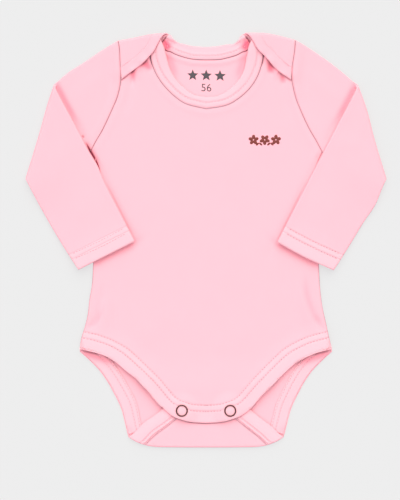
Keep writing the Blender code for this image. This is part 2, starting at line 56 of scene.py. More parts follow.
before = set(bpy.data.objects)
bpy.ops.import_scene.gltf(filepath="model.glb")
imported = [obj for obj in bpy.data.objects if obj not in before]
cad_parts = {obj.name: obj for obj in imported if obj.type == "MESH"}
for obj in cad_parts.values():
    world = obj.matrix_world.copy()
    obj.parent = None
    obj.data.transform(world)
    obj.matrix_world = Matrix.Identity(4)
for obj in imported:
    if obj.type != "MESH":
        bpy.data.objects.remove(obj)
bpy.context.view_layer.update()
BODY = "root"
SIDES = (("right", 1), ("left", -1))
MM = 0.001


def table(columns, *rows):
    """The rows of a table, with named columns."""
    row = namedtuple("Row", columns)
    return [row(*values) for values in rows]


def linear(code):
    """An sRGB hex colour as linear red, green and blue."""
    parts = [int(code[i : i + 2], 16) / 255 for i in (1, 3, 5)]
    return tuple(c / 12.92 if c <= 0.04045 else ((c + 0.055) / 1.055) ** 2.4 for c in parts)


# Walls and layers, as in the solids
BAND_WALL = 1.2  # folded neck band
SEAM_GAP = 0.12  # between pieces where they are sewn
BODY_HEIGHT = 2.8  # back and front together, as they lie
EDGE_RADIUS = BODY_HEIGHT / 2  # of the roll along a side seam or a sleeve's edge
ROLL_ANGLE = math.radians(53)  # that the front rolls down and the back rolls up at a side seam
ROLL_LENGTH = ROLL_ANGLE * EDGE_RADIUS
ROLL_RUN = 12.0  # over which the roll starts at the hip, and ends at the underarm
SHOULDER_RADIUS = 2.2  # of the back where it wraps over the shoulder
TAIL_RADIUS = 1.55  # of the back where its tail turns up at the crotch
TOP_HALF = (0.5, 1.0)  # shares of a fold's turn over which its cloth comes to face up
LOW_HALF = (0.05, 0.45)  # and over which it leaves its first side
SLEEVE_LIFT = BODY_HEIGHT + 0.5  # of a folded sleeve over the front
FRONT_BAND_PROUD = 0.1  # of the front's band over the front
ARMHOLE_INSET = 0.06  # of the body's edge inside the line of the armhole
BAND_GAP = -0.25  # a neck band laps this much over the panel that it is sewn to
BAND_OVER_LAP = 0.05  # lift of the band over the lap that it is sewn to

# Right half of the body's outline, from the hip to the underarm
SIDE_SEAM = table(
    "out up",
    (113.1, -98.0),
    (108.5, -76.5),
    (104.0, -54.0),
    (101.8, -24.3),
    (101.6, 20.0),
    (105.7, 76.5),
)
# From the underarm to the tip of the shoulder
ARMHOLE = table(
    "out up",
    (105.7, 76.5),
    (98.7, 89.5),
    (93.1, 99.3),
    (86.2, 114.7),
    (80.1, 129.7),
    (77.1, 145.0),
    (77.8, 161.8),
    (79.5, 179.7),
)
# Where the back wraps over the shoulder, from the neck to the tip
SHOULDER = table(
    "out up", (0.0, 186.2), (46.0, 186.2), (58.0, 185.2), (68.5, 182.8), (79.5, 179.7)
)
# Where the tail turns up, from the centre out
CROTCH = table(
    "out up", (0.0, -186.5), (25.5, -186.4), (45.0, -186.0), (55.0, -184.4), (63.4, -181.2), (70.0, -177.0)
)
# Leg opening in the front, from the corner of the crotch tab to the hip
FRONT_LEG = table(
    "out up",
    (39.6, -152.4),
    (48.7, -142.4),
    (53.8, -136.3),
    (64.9, -124.6),
    (76.3, -113.6),
    (83.1, -108.6),
    (94.7, -102.9),
    (105.5, -99.5),
    (113.1, -98.0),
)
# End of the front's crotch tab, from its middle out
TAB_END = table(
    "out up", (0.0, -164.4), (13.5, -163.5), (24.8, -160.4), (31.3, -157.8), (39.6, -152.4)
)
# Leg opening in the back, from the crotch to the hip
BACK_LEG = table(
    "out up",
    (70.6, -174.2),
    (72.7, -166.0),
    (76.8, -151.2),
    (84.2, -135.6),
    (89.0, -127.0),
    (95.9, -117.3),
    (105.2, -107.8),
    (113.3, -100.4),
)
# Edge of the tail as it lies turned up, from its end to the crotch
TAIL_EDGE = table("out up", (27.0, -140.6), (39.6, -152.2), (56.0, -165.1), (67.6, -175.6))
TAIL_RUN_END = (80.5, -186.2)  # to which that edge would run straight on
TAIL_END_UP = -139.0
# Heights on the centre line that belong to the hip, for the rows of the patterns
BACK_HIP_UP = -120.0
FRONT_HIP_UP = -104.0

# Neck of the front: seam and free edge of its band
FRONT_NECK_SEAM = table(
    "out up",
    (0.0, 118.8),
    (17.2, 122.3),
    (28.0, 128.8),
    (38.2, 138.9),
    (45.6, 149.9),
    (50.0, 161.0),
    (51.6, 171.5),
    (50.8, 182.0),
)
FRONT_NECK_EDGE = table(
    "out up",
    (0.0, 129.4),
    (11.0, 131.4),
    (20.5, 137.8),
    (27.4, 145.3),
    (32.4, 153.8),
    (36.0, 166.0),
    (38.0, 173.5),
    (41.5, 181.5),
)
FRONT_SHOULDER_DROP = 3.5  # of the front's shoulder edge below the back's wrap
# Neck of the back, which runs on along the lap. Lap rows are as the lap lies, over the front.
BACK_NECK_SEAM = table(
    "out up", (0.0, 162.1), (12.8, 162.8), (25.2, 166.0), (31.7, 169.2), (39.0, 173.6)
)
LAP_SEAM = table(
    "out up", (53.3, 177.0), (57.9, 172.2), (65.0, 164.6), (72.6, 158.3), (77.4, 154.5)
)
BACK_NECK_EDGE = table("out up", (0.0, 173.4), (17.9, 174.8), (27.1, 178.0))
LAP_EDGE = table(
    "out up",
    (40.9, 180.5),
    (46.5, 171.6),
    (51.7, 166.1),
    (59.2, 158.1),
    (67.2, 151.5),
    (76.6, 144.0),
)

# Sleeve, as it lies folded along the line between its two fold corners
FOLD_TOP = np.array((136.2, 139.2))
FOLD_UNDER = np.array((162.2, 54.9))
CUFF_INNER = np.array((63.6, -1.4))
CUFF_OUTER = np.array((114.5, -26.8))
SAG_RUN = 46.0  # over which a folded sleeve comes down beside the body
SAG_CLEAR = 1.5  # distance beside the body up to which it is still held up
SAG_BLEND = 9.0  # over which its sag off the body and its sag off the near part blend
NEAR_FOLDS_AT = (0.5, 2.0, 2.8, 3.3)  # heights between which the soft folds of its near part set in
FAR_FOLDS_AT = (4.4, 5.6)  # and those of its folded part, as its underside is flat
SLEEVE_MEETS_LAP = 1.3  # rise of the sleeve's head beside the lap, which lies on the front there
LAP_REACH = 9.0  # over which that rise fades along the sleeve
BESIDE_LAP = (-4.0, 8.0)  # heights over the lap's end between which it sets in
HEAD_DEEP = (1.2, 2.4)  # heights between which the sleeve's head turns to face up
FOLDED_OVER = 0.4  # height over the body within which the sleeve turns to its folded part
CUFF_TOP = (0.5, 1.6)  # heights over a folded sleeve's middle between which its outer face starts

# Snaps
SNAP_OUT = 21.7
SNAP_UP = -153.0
SNAP_RING = 4.8  # middle of the ring's wire
TAB_OVER_TAIL = 1.7  # lift of the front where it lies on the tail
TAIL_RAMP = (1.5, 36.0)  # distances from the tail's edge between which that lift fades
TAIL_RAMP_ASIDE = 0.7  # of a distance level with the edge, as the edge slants
TAB_OVER_SNAP = 2.0  # further lift over each snap
SNAP_RAMP = (6.5, 18.0)  # distances from a snap's middle between which that lift fades
SNAP_PUFF = (0.5, 2.6)  # rise and reach of the cloth inside a snap's ring
SNAP_DENT = (0.25, 0.9)  # depth and width of the cloth's dent under the ring
SNAP_CLEAR = 6.6  # from a snap's middle to the nearest stitch
SNAP_WIRE = 1.25  # width of the ring's wire
WIRE_SIDES = 14

# Seams and hems
VALLEY_DEPTH = 0.25  # of the cloth where it turns in at a seam
VALLEY_WIDTH = 0.9
PUFF_RISE = 0.25  # of the cloth beside a seam
PUFF_AT = 4.5
PUFF_WIDTH = 2.6
LAP_SEAM_SHARE = 0.04  # of that at the band's seam along a lap, which hardly shows
NECK_PUFF = 0.8  # rise beside the seam of the back's neck, as it can't dip into the surface below
NECK_PUFF_AT = (3.0, 2.2)  # how far beside it, and how broad
HEM_RISE = 0.35  # of a turned hem's outer face
HEM_STEP = (-0.8, 1.4)  # distances past the inner row of stitches over which that rise ends
EDGE_DROP = 0.3  # of a hem's folded edge
EDGE_ROUND = 2.4  # over which that edge rounds off
LEG_ROWS_AT = (10.5, 16.0)  # rows of stitches, from the edge of the front's leg hem
LEG_LIFT = 2.8  # of the front's leg hem off the back
LEG_LIFT_RUN = 28.0  # over which that lift ends
LEG_LIFT_OUT = (36.0, 56.0, 108.5, 112.8)  # distances out between which it starts and ends
CUFF_ROWS_AT = (10.8, 15.7)
CUFF_LIFT = 1.2  # of a cuff's edge off what it lies on
CUFF_LIFT_RUN = 30.0
TAIL_ROWS_AT = (10.8, 14.0)
TAIL_HEM = 14.4  # width of the tail's hem
TAIL_HEM_RISE = 0.6
TAIL_HEM_STEP = 0.4  # to each side of that width, over which the hem's rise ends
TAIL_EDGE_DROP = 1.0  # of the tail's free edge, which lies down on the back's inside
TAIL_EDGE_RUN = 8.0
TAIL_VALLEY = (0.6, 0.7)  # depth and width of the line where its hem ends
TAIL_VALLEY_AT = TAIL_HEM + 0.6
FRONT_BAND_ROW = 5.5  # row of stitches, from the seam of a neck band
BACK_BAND_ROW = 3.6
BAND_CUT = 11.0  # width of the strip that a band is folded from, as its knit is drawn
BAND_DOME = 0.25  # rise of a band's middle
BAND_VALLEY = (0.45, 0.9)  # depth and width of its seam
BAND_ROW_DIP = (0.15, 0.9)  # and of its row of stitches
BAND_EDGE = (0.3, 1.0)  # drop and reach of its free edge
LAP_BAND_EDGE = (0.4, 1.4)  # the same along a lap
BAND_SETTLE = 0.55  # how far the front's band comes down to the back's inside
BAND_SETTLE_FROM = 0.3  # share of its width from which it does
BAND_SETTLE_OUT = (20.0, 38.0)  # distances out between which that ends
STITCH_LIFT = 0.12  # of a stitch's middle over the cloth
LEG_HEM_TURN = 14.0  # width of the back's leg hem, turned to the inside
LEG_HEM_ROWS_AT = (8.6, 12.6)
LEG_HEM_WALL = 0.25
LEG_HEM_LIFT = 0.02  # of that turned layer over the back's inside
LEG_HEM_ENDS = (1.6, 1.5)  # how far it runs past the crotch, and stops short of the side seam
LEG_HEM_SHARES = (0.04, 1.0, 9)  # of its width, where its rows are: from, to and how many

# Where the layers stand tall
NECK_POINT = (41.0, 179.0)
NECK_LIFT = 3.0  # of the layers at a neck point
NECK_LIFT_REACH = 17.0

# Soft folds: a trough or ridge from one place to another, bowed aside by bow at its middle. side is 0
# for both halves, or +1 or -1 for one, whose places may then pass the centre line.
FOLD_COLUMNS = "side out up to_out to_up bow breadth rise"
FADE = (-0.2, 0.3, 0.7, 1.2)  # shares of a fold's length between which it starts and ends
FRONT_FOLDS = table(
    FOLD_COLUMNS,
    # under the laps
    (-1, 57.5, 164.0, 50.5, 153.0, 0.0, 2.5, -2.0),
    (-1, 66.6, 154.5, 66.6, 138.5, 0.0, 2.0, -1.3),
    (-1, 61.5, 158.0, 61.0, 145.0, 0.0, 2.6, 0.6),
    (1, 57.8, 163.0, 58.0, 150.5, 0.0, 2.6, -2.0),
    (1, 69.6, 153.0, 69.2, 141.0, 0.0, 2.0, -1.2),
    (1, 62.8, 158.0, 63.0, 146.0, 0.0, 2.6, 0.6),
    (0, 51.4, 170.0, 49.4, 158.0, 0.0, 1.3, -1.8),
    # beside the left underarm, under the folded sleeve
    (-1, 106.0, 84.0, 99.2, 68.5, 0.0, 1.6, -1.9),
    # the small pucker at the other one
    (1, 105.6, 82.5, 100.6, 72.0, 0.0, 1.2, -1.3),
    (1, 99.0, 80.0, 96.5, 66.0, 1.0, 2.4, 0.5),
    # from the laps to the armholes
    (0, 70.0, 150.0, 77.0, 112.0, 2.0, 5.0, -0.5),
    (-1, 74.0, 140.0, 82.0, 104.0, 2.0, 4.0, 0.3),
    # beside the folded sleeves and under their cuffs
    (0, 110.0, 91.0, 57.0, -11.0, 0.0, 2.6, -0.5),
    (0, 56.0, 0.7, 109.0, -25.8, 0.0, 3.5, -0.7),
    # at the hips
    (-1, 91.5, -42.0, 104.5, -79.0, 2.5, 3.2, -0.8),
    (-1, 94.8, -61.0, 105.9, -78.0, 3.0, 1.7, -0.9),
    (-1, 88.0, -50.0, 97.0, -84.0, 2.0, 6.0, 0.6),
    (1, 89.5, -34.0, 105.3, -80.0, 3.7, 2.8, -1.0),
    (1, 98.0, -69.5, 106.0, -81.0, 0.0, 1.9, -1.0),
    (1, 84.0, -40.0, 97.0, -80.0, 2.0, 6.0, 0.6),
    # the body's long soft ones
    (-1, 30.0, -60.0, 62.0, -92.0, 4.0, 12.0, 0.35),
    (1, 20.0, 60.0, 64.0, 88.0, -4.0, 14.0, 0.35),
    (1, 12.0, -98.0, 40.0, -78.0, 3.0, 10.0, 0.3),
    (-1, 6.0, 20.0, 58.0, 42.0, 6.0, 16.0, 0.25),
    (1, 4.0, -30.0, 52.0, -14.0, -5.0, 18.0, 0.25),
    (-1, -20.0, 96.0, 34.0, 80.0, 5.0, 15.0, 0.2),
)
NEAR_SLEEVE_FOLDS = table(
    FOLD_COLUMNS,
    (0, 140.0, 149.0, 107.0, 86.0, 0.0, 3.0, -1.1),
    (0, 89.0, 164.0, 91.0, 112.0, 2.0, 5.0, -0.55),
    (0, 81.5, 160.0, 84.5, 122.0, 1.0, 3.5, 0.3),
    (0, 98.0, 150.0, 116.0, 126.0, 2.0, 6.0, 0.4),
    (-1, 111.4, 93.4, 110.2, 91.6, 0.0, 1.1, -1.0),
    (-1, 108.0, 87.0, 103.0, 76.5, 0.0, 1.4, -1.8),
)
FAR_SLEEVE_FOLDS = table(
    FOLD_COLUMNS,
    (0, 139.0, 143.0, 62.0, -6.0, 0.0, 4.0, 0.4),
    (-1, 118.0, 92.0, 140.0, 70.0, 3.0, 8.0, 0.35),
    (1, 112.0, 84.0, 138.0, 84.0, -3.0, 8.0, 0.35),
    (0, 96.0, 40.0, 116.0, 22.0, 2.0, 9.0, 0.3),
    (1, 130.0, 110.0, 146.0, 84.0, 2.0, 7.0, -0.2),
)
# Crumples of the lying back at the neck, above the surface that it lies on
BACK_FOLDS = table(
    FOLD_COLUMNS,
    (0, 40.5, 184.5, 24.0, 177.0, 0.6, 1.5, 1.9),
    (-1, 36.3, 181.5, 34.2, 173.5, 0.3, 0.8, 0.9),
    (-1, 33.4, 180.0, 30.6, 172.0, 0.0, 0.9, 0.6),
    (1, 36.6, 182.0, 35.4, 174.0, -0.4, 0.8, 0.8),
    (1, 32.6, 180.5, 31.0, 172.5, 0.0, 1.0, 0.7),
)
# Rises of a lap beside the folds that it bridges
LAP_RISES = table(
    "side out up reach rise",
    (-1, 56.0, 161.5, 5.0, 2.0),
    (-1, 66.0, 151.5, 3.5, 1.3),
    (1, 57.5, 160.0, 5.0, 2.0),
    (1, 69.0, 149.0, 3.5, 1.3),
    (0, 48.5, 168.5, 5.0, 1.2),
)
# How the cloth lies a little to one side of its even cut. out is signed here.
LIE = table(
    "out up reach shift_out shift_up",
    (-62.0, 185.0, 17.0, 0.0, -2.0),
    (-23.0, 176.0, 7.0, 0.0, 1.4),
    (18.0, 175.0, 7.0, 0.0, 0.9),
    (-124.0, 148.0, 14.0, -0.6, 1.4),
    (-143.0, 122.0, 20.0, -1.0, 0.0),
    (146.0, 118.0, 20.0, 1.4, 0.4),
    (148.0, 33.0, 13.0, 1.6, -0.9),
    (-112.0, -88.0, 9.0, -1.3, 0.0),
    (-104.0, -54.0, 10.0, -1.1, 0.0),
    (-84.0, 128.0, 40.0, 0.95, 0.0),
    (80.0, 172.0, 12.0, 0.9, 0.0),
    (88.0, 115.0, 16.0, -0.6, 0.0),
    (38.0, 138.0, 26.0, 2.0, -1.6),
    (8.0, 118.0, 24.0, 0.0, -1.0),
    (66.0, 152.0, 12.0, -1.2, -0.8),
    (-54.0, 164.0, 15.0, 1.0, -1.0),
    (-80.0, 172.0, 9.0, 0.8, 0.0),
    (47.0, 173.7, 10.0, -0.5, -0.5),
    (-88.0, -104.0, 9.0, 0.3, 0.8),
    (-64.0, -125.0, 7.0, 0.6, 0.7),
    (-38.0, -152.0, 7.0, 0.6, 0.8),
    (-50.0, -168.0, 9.0, -0.8, 0.8),
    (86.0, -14.0, 26.0, 0.0, -1.9),
    (-54.0, -140.0, 20.0, 1.5, 1.0),
    (50.0, -147.0, 12.0, -0.7, 0.7),
    (-98.5, 67.5, 11.0, 1.4, 0.0),
)
# Depths of the painted shade in the fine dark lines at seams
SEAM_CREASE = 0.5  # half width of a seam's line
ARMHOLE_DEPTH = 0.38
LAP_ARMHOLE_DEPTH = 0.28
TAIL_HEM_DEPTH = 0.36
FRONT_NECK_DEPTH = 0.66
FRONT_NECK_NIP = (0.2, 165.5, 4.5)  # how much deeper under a lap, at which height, over which reach
BACK_NECK_DEPTH = 0.78
BACK_NECK_OUT = (40.0, 46.0)  # distances out between which it ends
LAP_SEAM_DEPTH = 0.02
# Tight creases, where two layers meet or the cloth is nipped together, and how deep the painted shade of
# each one is. They are narrower than the mesh, so their shade, in the colour that light through the cloth
# gives them, is painted.
FAR = 9.0  # widths across that are clear of any line
ROWS_CLEAR = 2 * FAR  # rows of stitches away that are clear of any row
SHADE_REACH = (3.0, 6.0)  # of a crease's widths across, over which its line ends
CREASE_COLUMNS = "side out up to_out to_up width to_width depth"
FRONT_CREASES = table(
    CREASE_COLUMNS,
    (-1, 106.0, 84.0, 96.0, 61.5, 1.5, 0.35, 1.0),
    (1, 106.0, 82.5, 99.0, 68.0, 0.7, 0.4, 0.5),
    (0, 88.2, 49.0, 63.9, 0.0, 0.7, 1.0, 0.17),
    (0, 102.4, -17.0, 102.0, -38.0, 0.9, 0.4, 0.5),
)
SIDE_SHADE = 0.4  # depth of the painted shade along a side seam, where front and back meet
SIDE_SHADE_WIDTH = 0.8
BACK_SEAM_SHADE = 0.3  # depth of the shade in the seam of the back's neck band
BACK_SEAM_SHADE_ASIDE = 0.45  # that it is deeper by beside the neck points
BACK_SEAM_ASIDE_OUT = (28.0, 34.0)  # distances out between which that starts
BACK_SEAM_OUT = (39.0, 44.0)  # and between which the shade ends
LAP_SHADE = 0.12  # depth of the shade under a lap's edge
LAP_SHADES = table(
    "side out reach depth",
    (-1, 56.5, 2.6, 0.5),
    (-1, 66.6, 1.7, 0.7),
    (-1, 73.0, 2.2, 0.4),
    (1, 59.0, 3.2, 0.45),
    (1, 68.5, 2.4, 0.2),
    (1, 74.0, 2.0, 0.3),
)
LAP_SHADE_AT_NECK = 0.2  # that it is deeper by where the lap lies on the front's neck band
LAP_SHADE_NECK_OUT = (46.0, 52.0)  # distances out between which that ends
LAP_SHADE_OUT = (40.0, 43.0, 75.0, 78.5)  # distances out between which the shade starts and ends
LAP_SLANT = 0.72  # of a height over the lap's edge, as that slants
TAB_SHADE = 0.95  # depth of the shade under the crotch tab's end
TAB_SHADE_WIDTH = 0.7
TAB_SHADE_OUT = (22.0, 34.0)  # distances out between which it ends
NECK_CREASES = table(
    CREASE_COLUMNS,
    (0, 34.6, 184.2, 40.6, 177.2, 0.6, 1.0, 0.8),
)
SLEEVE_CREASES = table(
    CREASE_COLUMNS,
    (-1, 107.6, 86.6, 102.4, 75.5, 0.5, 1.5, 1.0),
    (-1, 111.6, 94.4, 110.0, 91.6, 0.9, 0.9, 0.5),
)
LEG_HEM_CREASES = table(
    CREASE_COLUMNS,
    (0, 112.0, -99.4, 96.0, -102.9, 0.9, 1.2, 0.4),
    (0, 82.4, -108.6, 73.4, -120.0, 0.8, 0.4, 0.6),
)
# Hollows, where the cloth is lit mostly through itself and by itself, which makes its pink deeper. That
# deeper pink is painted shade, and rise is how strongly it shows.
FRONT_HOLLOWS = table(
    FOLD_COLUMNS,
    (-1, 57.5, 160.5, 50.5, 154.0, 0.0, 2.8, 0.55),
    (-1, 66.6, 152.5, 66.2, 143.5, 0.0, 2.2, 0.4),
    (1, 58.6, 160.0, 57.6, 151.5, 0.0, 2.6, 0.55),
    (1, 69.8, 149.5, 69.4, 142.0, 0.0, 2.0, 0.35),
    (0, 70.0, 146.0, 49.0, 166.0, 0.0, 3.0, 0.25),
    (-1, 106.0, 84.0, 97.5, 65.0, 0.0, 2.2, 0.5),
    (0, 88.2, 49.0, 63.9, 0.0, 0.0, 2.2, 0.1),
    (1, 89.5, -36.0, 105.3, -80.0, 3.7, 2.2, 0.2),
    (-1, 95.6, -64.0, 105.9, -78.0, 3.0, 1.8, 0.18),
    (0, 103.5, -18.0, 110.0, -84.0, 0.0, 2.0, 0.16),
    (0, 60.0, 0.5, 104.0, -21.5, 0.0, 3.5, 0.2),
)
SLEEVE_HOLLOWS = table(
    FOLD_COLUMNS,
    (0, 136.0, 143.5, 117.0, 106.5, 0.0, 2.3, 0.5),
    (-1, 108.5, 88.0, 102.6, 76.0, 0.0, 1.9, 0.4),
)
BACK_HOLLOWS = table(
    FOLD_COLUMNS,
    (0, 38.5, 180.0, 33.0, 172.0, 0.0, 3.4, 1.0),
    (0, 36.0, 173.0, 27.0, 147.0, 0.0, 3.6, 0.35),
)
LEG_HEM_HOLLOWS = table(
    FOLD_COLUMNS,
    (0, 113.0, -100.5, 84.0, -111.0, 0.0, 3.0, 0.5),
    (0, 66.0, -172.0, 74.0, -168.0, 0.0, 3.0, 0.15),
)
# How far each sleeve's upper edge and its folded outer edge bulge
SLEEVE_BULGES = {1: (2.0, 1.7), -1: (1.0, 1.5)}

# Motifs: flowers and leaves embroidered on the chest, stars and the size printed inside the neck
FLOWERS = table("out up turn", (42.6, 90.0, 0.314), (52.7, 90.0, 0.942), (62.8, 90.0, 0.314))
PETALS = 5
PETAL_AT = 2.6
PETAL = (4.2, 3.1)  # length and width
LEAVES = table(
    "out up turn", (46.2, 86.2, 0.75), (49.1, 86.2, -0.75), (56.3, 86.2, 0.75), (59.2, 86.2, -0.75)
)
LEAF = (3.6, 1.7)
SATIN_RISE = 0.4  # of a patch of satin stitch over the cloth
SATIN_STEPS = (20, 8)  # round a patch and up it
SATIN_THREAD = 0.35  # from one of its threads to the next
STARS_OUT = (-12.0, 0.0, 12.0)
STARS_UP = 148.3
STAR_RADIUS = 5.2
STAR_POINTS = 5
STAR_WAIST = 0.45  # of a star's inner corners, as a share of its radius
SIZE_UP = 137.3
SIZE_HIGH = 9.5
INK_RISE = 0.03

# Stitching
STITCH_STEP = 0.4  # between the places that a stitch's direction is read from
STITCH_SIDES = (6, 4)  # round a stitch and along it
SEAM_CLEAR = 1.0  # from a side seam to the front hem's last stitch
LEG_SEAM_CLEAR = 3.0  # and to the back hem's
TAIL_TURN_CLEAR = 1.0  # from the fold at the crotch to the tail's last stitch
LEG_START = 2.0  # from that fold to the back hem's first one
CUFF_CLEAR = 2.2  # from a sleeve's edge to the cuff's
BAND_STITCH_LIFT = 0.1
FRONT_BAND_TOP = 181.0  # height where the front band's row goes under the lap
BACK_BAND_OUT = 36.0  # distance out where the back band's row turns under

# Stage
FLOOR_HALF = 4.0  # metres from the middle to the floor's edge
FLOOR_DROP = 0.0002  # metres that it lies under the cloth
CAMERA_AT = (-5.4, -9.0)  # out and up from the body's middle

# Mesh density
LINE_STEPS = 60  # of a line that others are read from
CURVE_STEPS = 16  # between two places of a table
LEG_RIM = 0.5  # width of the rows along a leg edge
CUT_SNAP = 0.05  # a cut takes a vertex this near as its own
CUT_REACH = 6.0  # height to each side of a cut where the mesh is looked at
BODY_COLUMNS = 62
ROLL_SHARES = (0.2, 0.4, 0.6, 0.8, 0.92, 1.0)  # of the roll at a side, where its columns are
LEG_ROWS = 58
TAIL_ROWS = 34
SIDE_ROWS = 100
YOKE_ROWS = 64
LAP_ROWS = 26
SHOULDER_ROWS = 18
FOLD_CUTS = 14  # through the cloth of one fold
BAND_COLUMNS = 96
BAND_ACROSS = 10
SLEEVE_NEAR = 34
SLEEVE_TURN = 14
SLEEVE_FAR = 80
SLEEVE_ACROSS = 48
SLEEVE_EDGE_STEPS = 7
LEG_HEM_COLUMNS = 64
MERGE = 0.0001  # vertices of a sleeve's ring nearer than this are one


def points(rows):
    """A table's places as an array."""
    return np.array([(row.out, row.up) for row in rows], float)


def smooth_line(through):
    """Many points along the smooth curve through these."""
    ends = np.vstack([through[:1], through, through[-1:]])
    t = np.linspace(0, 1, CURVE_STEPS, endpoint=False)[:, None]
    parts = []
    for before, start, end, after in zip(ends, ends[1:], ends[2:], ends[3:]):
        square = 2 * before - 5 * start + 4 * end - after
        cube = 3 * start - before - 3 * end + after
        parts.append(0.5 * (2 * start + (end - before) * t + square * t**2 + cube * t**3))
    return np.vstack([*parts, through[-1:]])


def unit(run):
    """A run's direction, of length 1."""
    return run / np.linalg.norm(run)


def lengths(line):
    """Distance along a line to each of its points."""
    return np.concatenate([[0.0], np.cumsum(np.linalg.norm(np.diff(line, axis=0), axis=1))])


def at_lengths(line, targets):
    """Points of a line at these distances along it."""
    run = lengths(line)
    return np.column_stack([np.interp(targets, run, line[:, k]) for k in range(line.shape[1])])


def curve(through, count):
    """count + 1 points spaced evenly along the smooth curve through these points."""
    line = smooth_line(through)
    return at_lengths(line, np.linspace(0, lengths(line)[-1], count + 1))


def patch(bottom, top, left, right):
    """Rows of points that fill the four-sided area between these edges."""
    u = np.linspace(0, 1, len(bottom))[None, :, None]
    v = np.linspace(0, 1, len(left))[:, None, None]
    across = left[:, None] * (1 - u) + right[:, None] * u
    along = bottom[None] * (1 - v) + top[None] * v
    low = bottom[0] * (1 - u) + bottom[-1] * u
    high = top[0] * (1 - u) + top[-1] * u
    return across + along - (low * (1 - v) + high * v)


def inset(edge, distance):
    """The edge moved to its left by this distance, or one for each point, seen along the edge."""
    run = np.gradient(edge, axis=0)
    run /= np.linalg.norm(run, axis=1)[:, None]
    aside = np.column_stack([-run[:, 1], run[:, 0]])
    return edge + np.broadcast_to(distance, len(edge))[:, None] * aside


def read(line, given, value):
    """The line's other coordinate where its given one (0 for out, 1 for up) has this value."""
    return np.interp(value, line[:, given], line[:, 1 - given])


def distance(places, line):
    """Each place's distance from a line."""
    best = np.full(len(places), 1e6)
    for start, end in zip(line, line[1:]):
        run = end - start
        share = np.clip((places - start) @ run / (run @ run), 0, 1)
        gap = places - start - share[:, None] * run
        best = np.minimum(best, np.hypot(gap[:, 0], gap[:, 1]))
    return best


SIDE_LINE = curve(points(SIDE_SEAM), LINE_STEPS)
SHOULDER_LINE = curve(points(SHOULDER), LINE_STEPS)
CROTCH_LINE = curve(points(CROTCH), LINE_STEPS)
TAIL_LINE = curve(points(TAIL_EDGE)[::-1], LINE_STEPS)
TAIL_RUN_LINE = np.vstack([points(TAIL_EDGE), [TAIL_RUN_END]])
TAB_LINE = curve(points(TAB_END), LINE_STEPS)
LAP_EDGE_LINE = curve(points(LAP_EDGE), LINE_STEPS)
ARMHOLE_LINE = curve(points(ARMHOLE), LINE_STEPS)
FRONT_NECK_LINE = smooth_line(points(FRONT_NECK_SEAM))
FRONT_NECK_EDGE_LINE = smooth_line(points(FRONT_NECK_EDGE))


def half_width(up):
    """The body's half width at this height, between the hip and the underarm."""
    return read(SIDE_LINE, 1, up)


def ease(value, start, end):
    """0 at start, 1 at end, smooth between."""
    share = np.clip((value - start) / (end - start), 0, 1)
    return share * share * (3 - 2 * share)


def between(value, start, full, ending, end):
    """0 up to start, 1 from full to ending and 0 from end on, smooth between."""
    return ease(value, start, full) * (1 - ease(value, ending, end))


def bell(value, middle, width):
    """1 at the middle, falling smoothly to 0 either side."""
    return np.exp(-(((value - middle) / width) ** 2))


def turn(past, radius):
    """How far cloth reaches, and how high it lies, this far past the start of a fold of 180 degrees."""
    angle = np.clip(past / radius, 0, math.pi)
    beyond = np.maximum(past - math.pi * radius, 0)
    reach = np.where(past <= 0, past, radius * np.sin(angle) - beyond)
    return reach, radius * (1 - np.cos(angle))


def unfold(flap, line, radius, up_sign):
    """Where places on a folded-over flap are on the flat pattern."""
    start = read(line, 0, flap[:, 0]) - up_sign * radius
    back = (start - flap[:, 1]) * up_sign
    return np.column_stack([flap[:, 0], start + up_sign * (math.pi * radius + back)])


def outward(row, x):
    """How far out places are on the side, or both sides, that a row of a table is for."""
    return np.abs(x) if row.side == 0 else x * row.side


def by_fold(fold, x, y):
    """Where places are by a fold: share of its length, distance to its side, and how much of it is there."""
    run = np.array((fold.to_out - fold.out, fold.to_up - fold.up))
    length = np.linalg.norm(run)
    dx, dy = outward(fold, x) - fold.out, y - fold.up
    share = (dx * run[0] + dy * run[1]) / length**2
    return share, (dx * run[1] - dy * run[0]) / length, between(share, *FADE)


def relief(folds, x, y):
    """Height of the soft folds at these places."""
    total = np.zeros_like(x)
    for fold in folds:
        share, aside, there = by_fold(fold, x, y)
        aside = aside - 4 * fold.bow * share * (1 - share)
        total += fold.rise * there * bell(aside, 0, fold.breadth)
    return total


def creased(folds, x, y):
    """How far places lie across the nearest of these tight creases, in its widths, and the depth of its
    painted shade there.
    """
    parts = [(np.full(len(x), FAR), 0.0)]
    for fold in folds:
        share, aside, there = by_fold(fold, x, y)
        across = aside / (fold.width + (fold.to_width - fold.width) * np.clip(share, 0, 1))
        near = 1 - ease(np.abs(across), *SHADE_REACH)
        parts.append((np.where(there > 0, across, np.copysign(FAR, across)), fold.depth * there * near))
    return deepest(*parts)


def deepest(*creases):
    """At each place the crease that is nearest, of several given as distances in widths and depths."""
    across, depth = (np.array(np.broadcast_arrays(*part)) for part in zip(*creases))
    pick = np.abs(across).argmin(axis=0)
    each = np.arange(across.shape[1])
    return across[pick, each], depth[pick, each]


def under_edge(past, width, depth):
    """The shade under a free edge, from the distance past it: in its widths, and its depth."""
    return past / width, depth * (1 - ease(np.abs(past / width), *SHADE_REACH))


def under_lap(p):
    """The shade under a lap's edge on what lies under it, at these places."""
    half = right_side(p)
    depth = LAP_SHADE + LAP_SHADE_AT_NECK * (1 - ease(half[:, 0], *LAP_SHADE_NECK_OUT))
    for spot in LAP_SHADES:
        depth = depth + spot.depth * bell(p[:, 0] * spot.side, spot.out, spot.reach)
    depth = depth * between(half[:, 0], *LAP_SHADE_OUT)
    return under_edge(LAP_SLANT * (half[:, 1] - read(LAP_EDGE_LINE, 0, half[:, 0])), 1.0, depth)


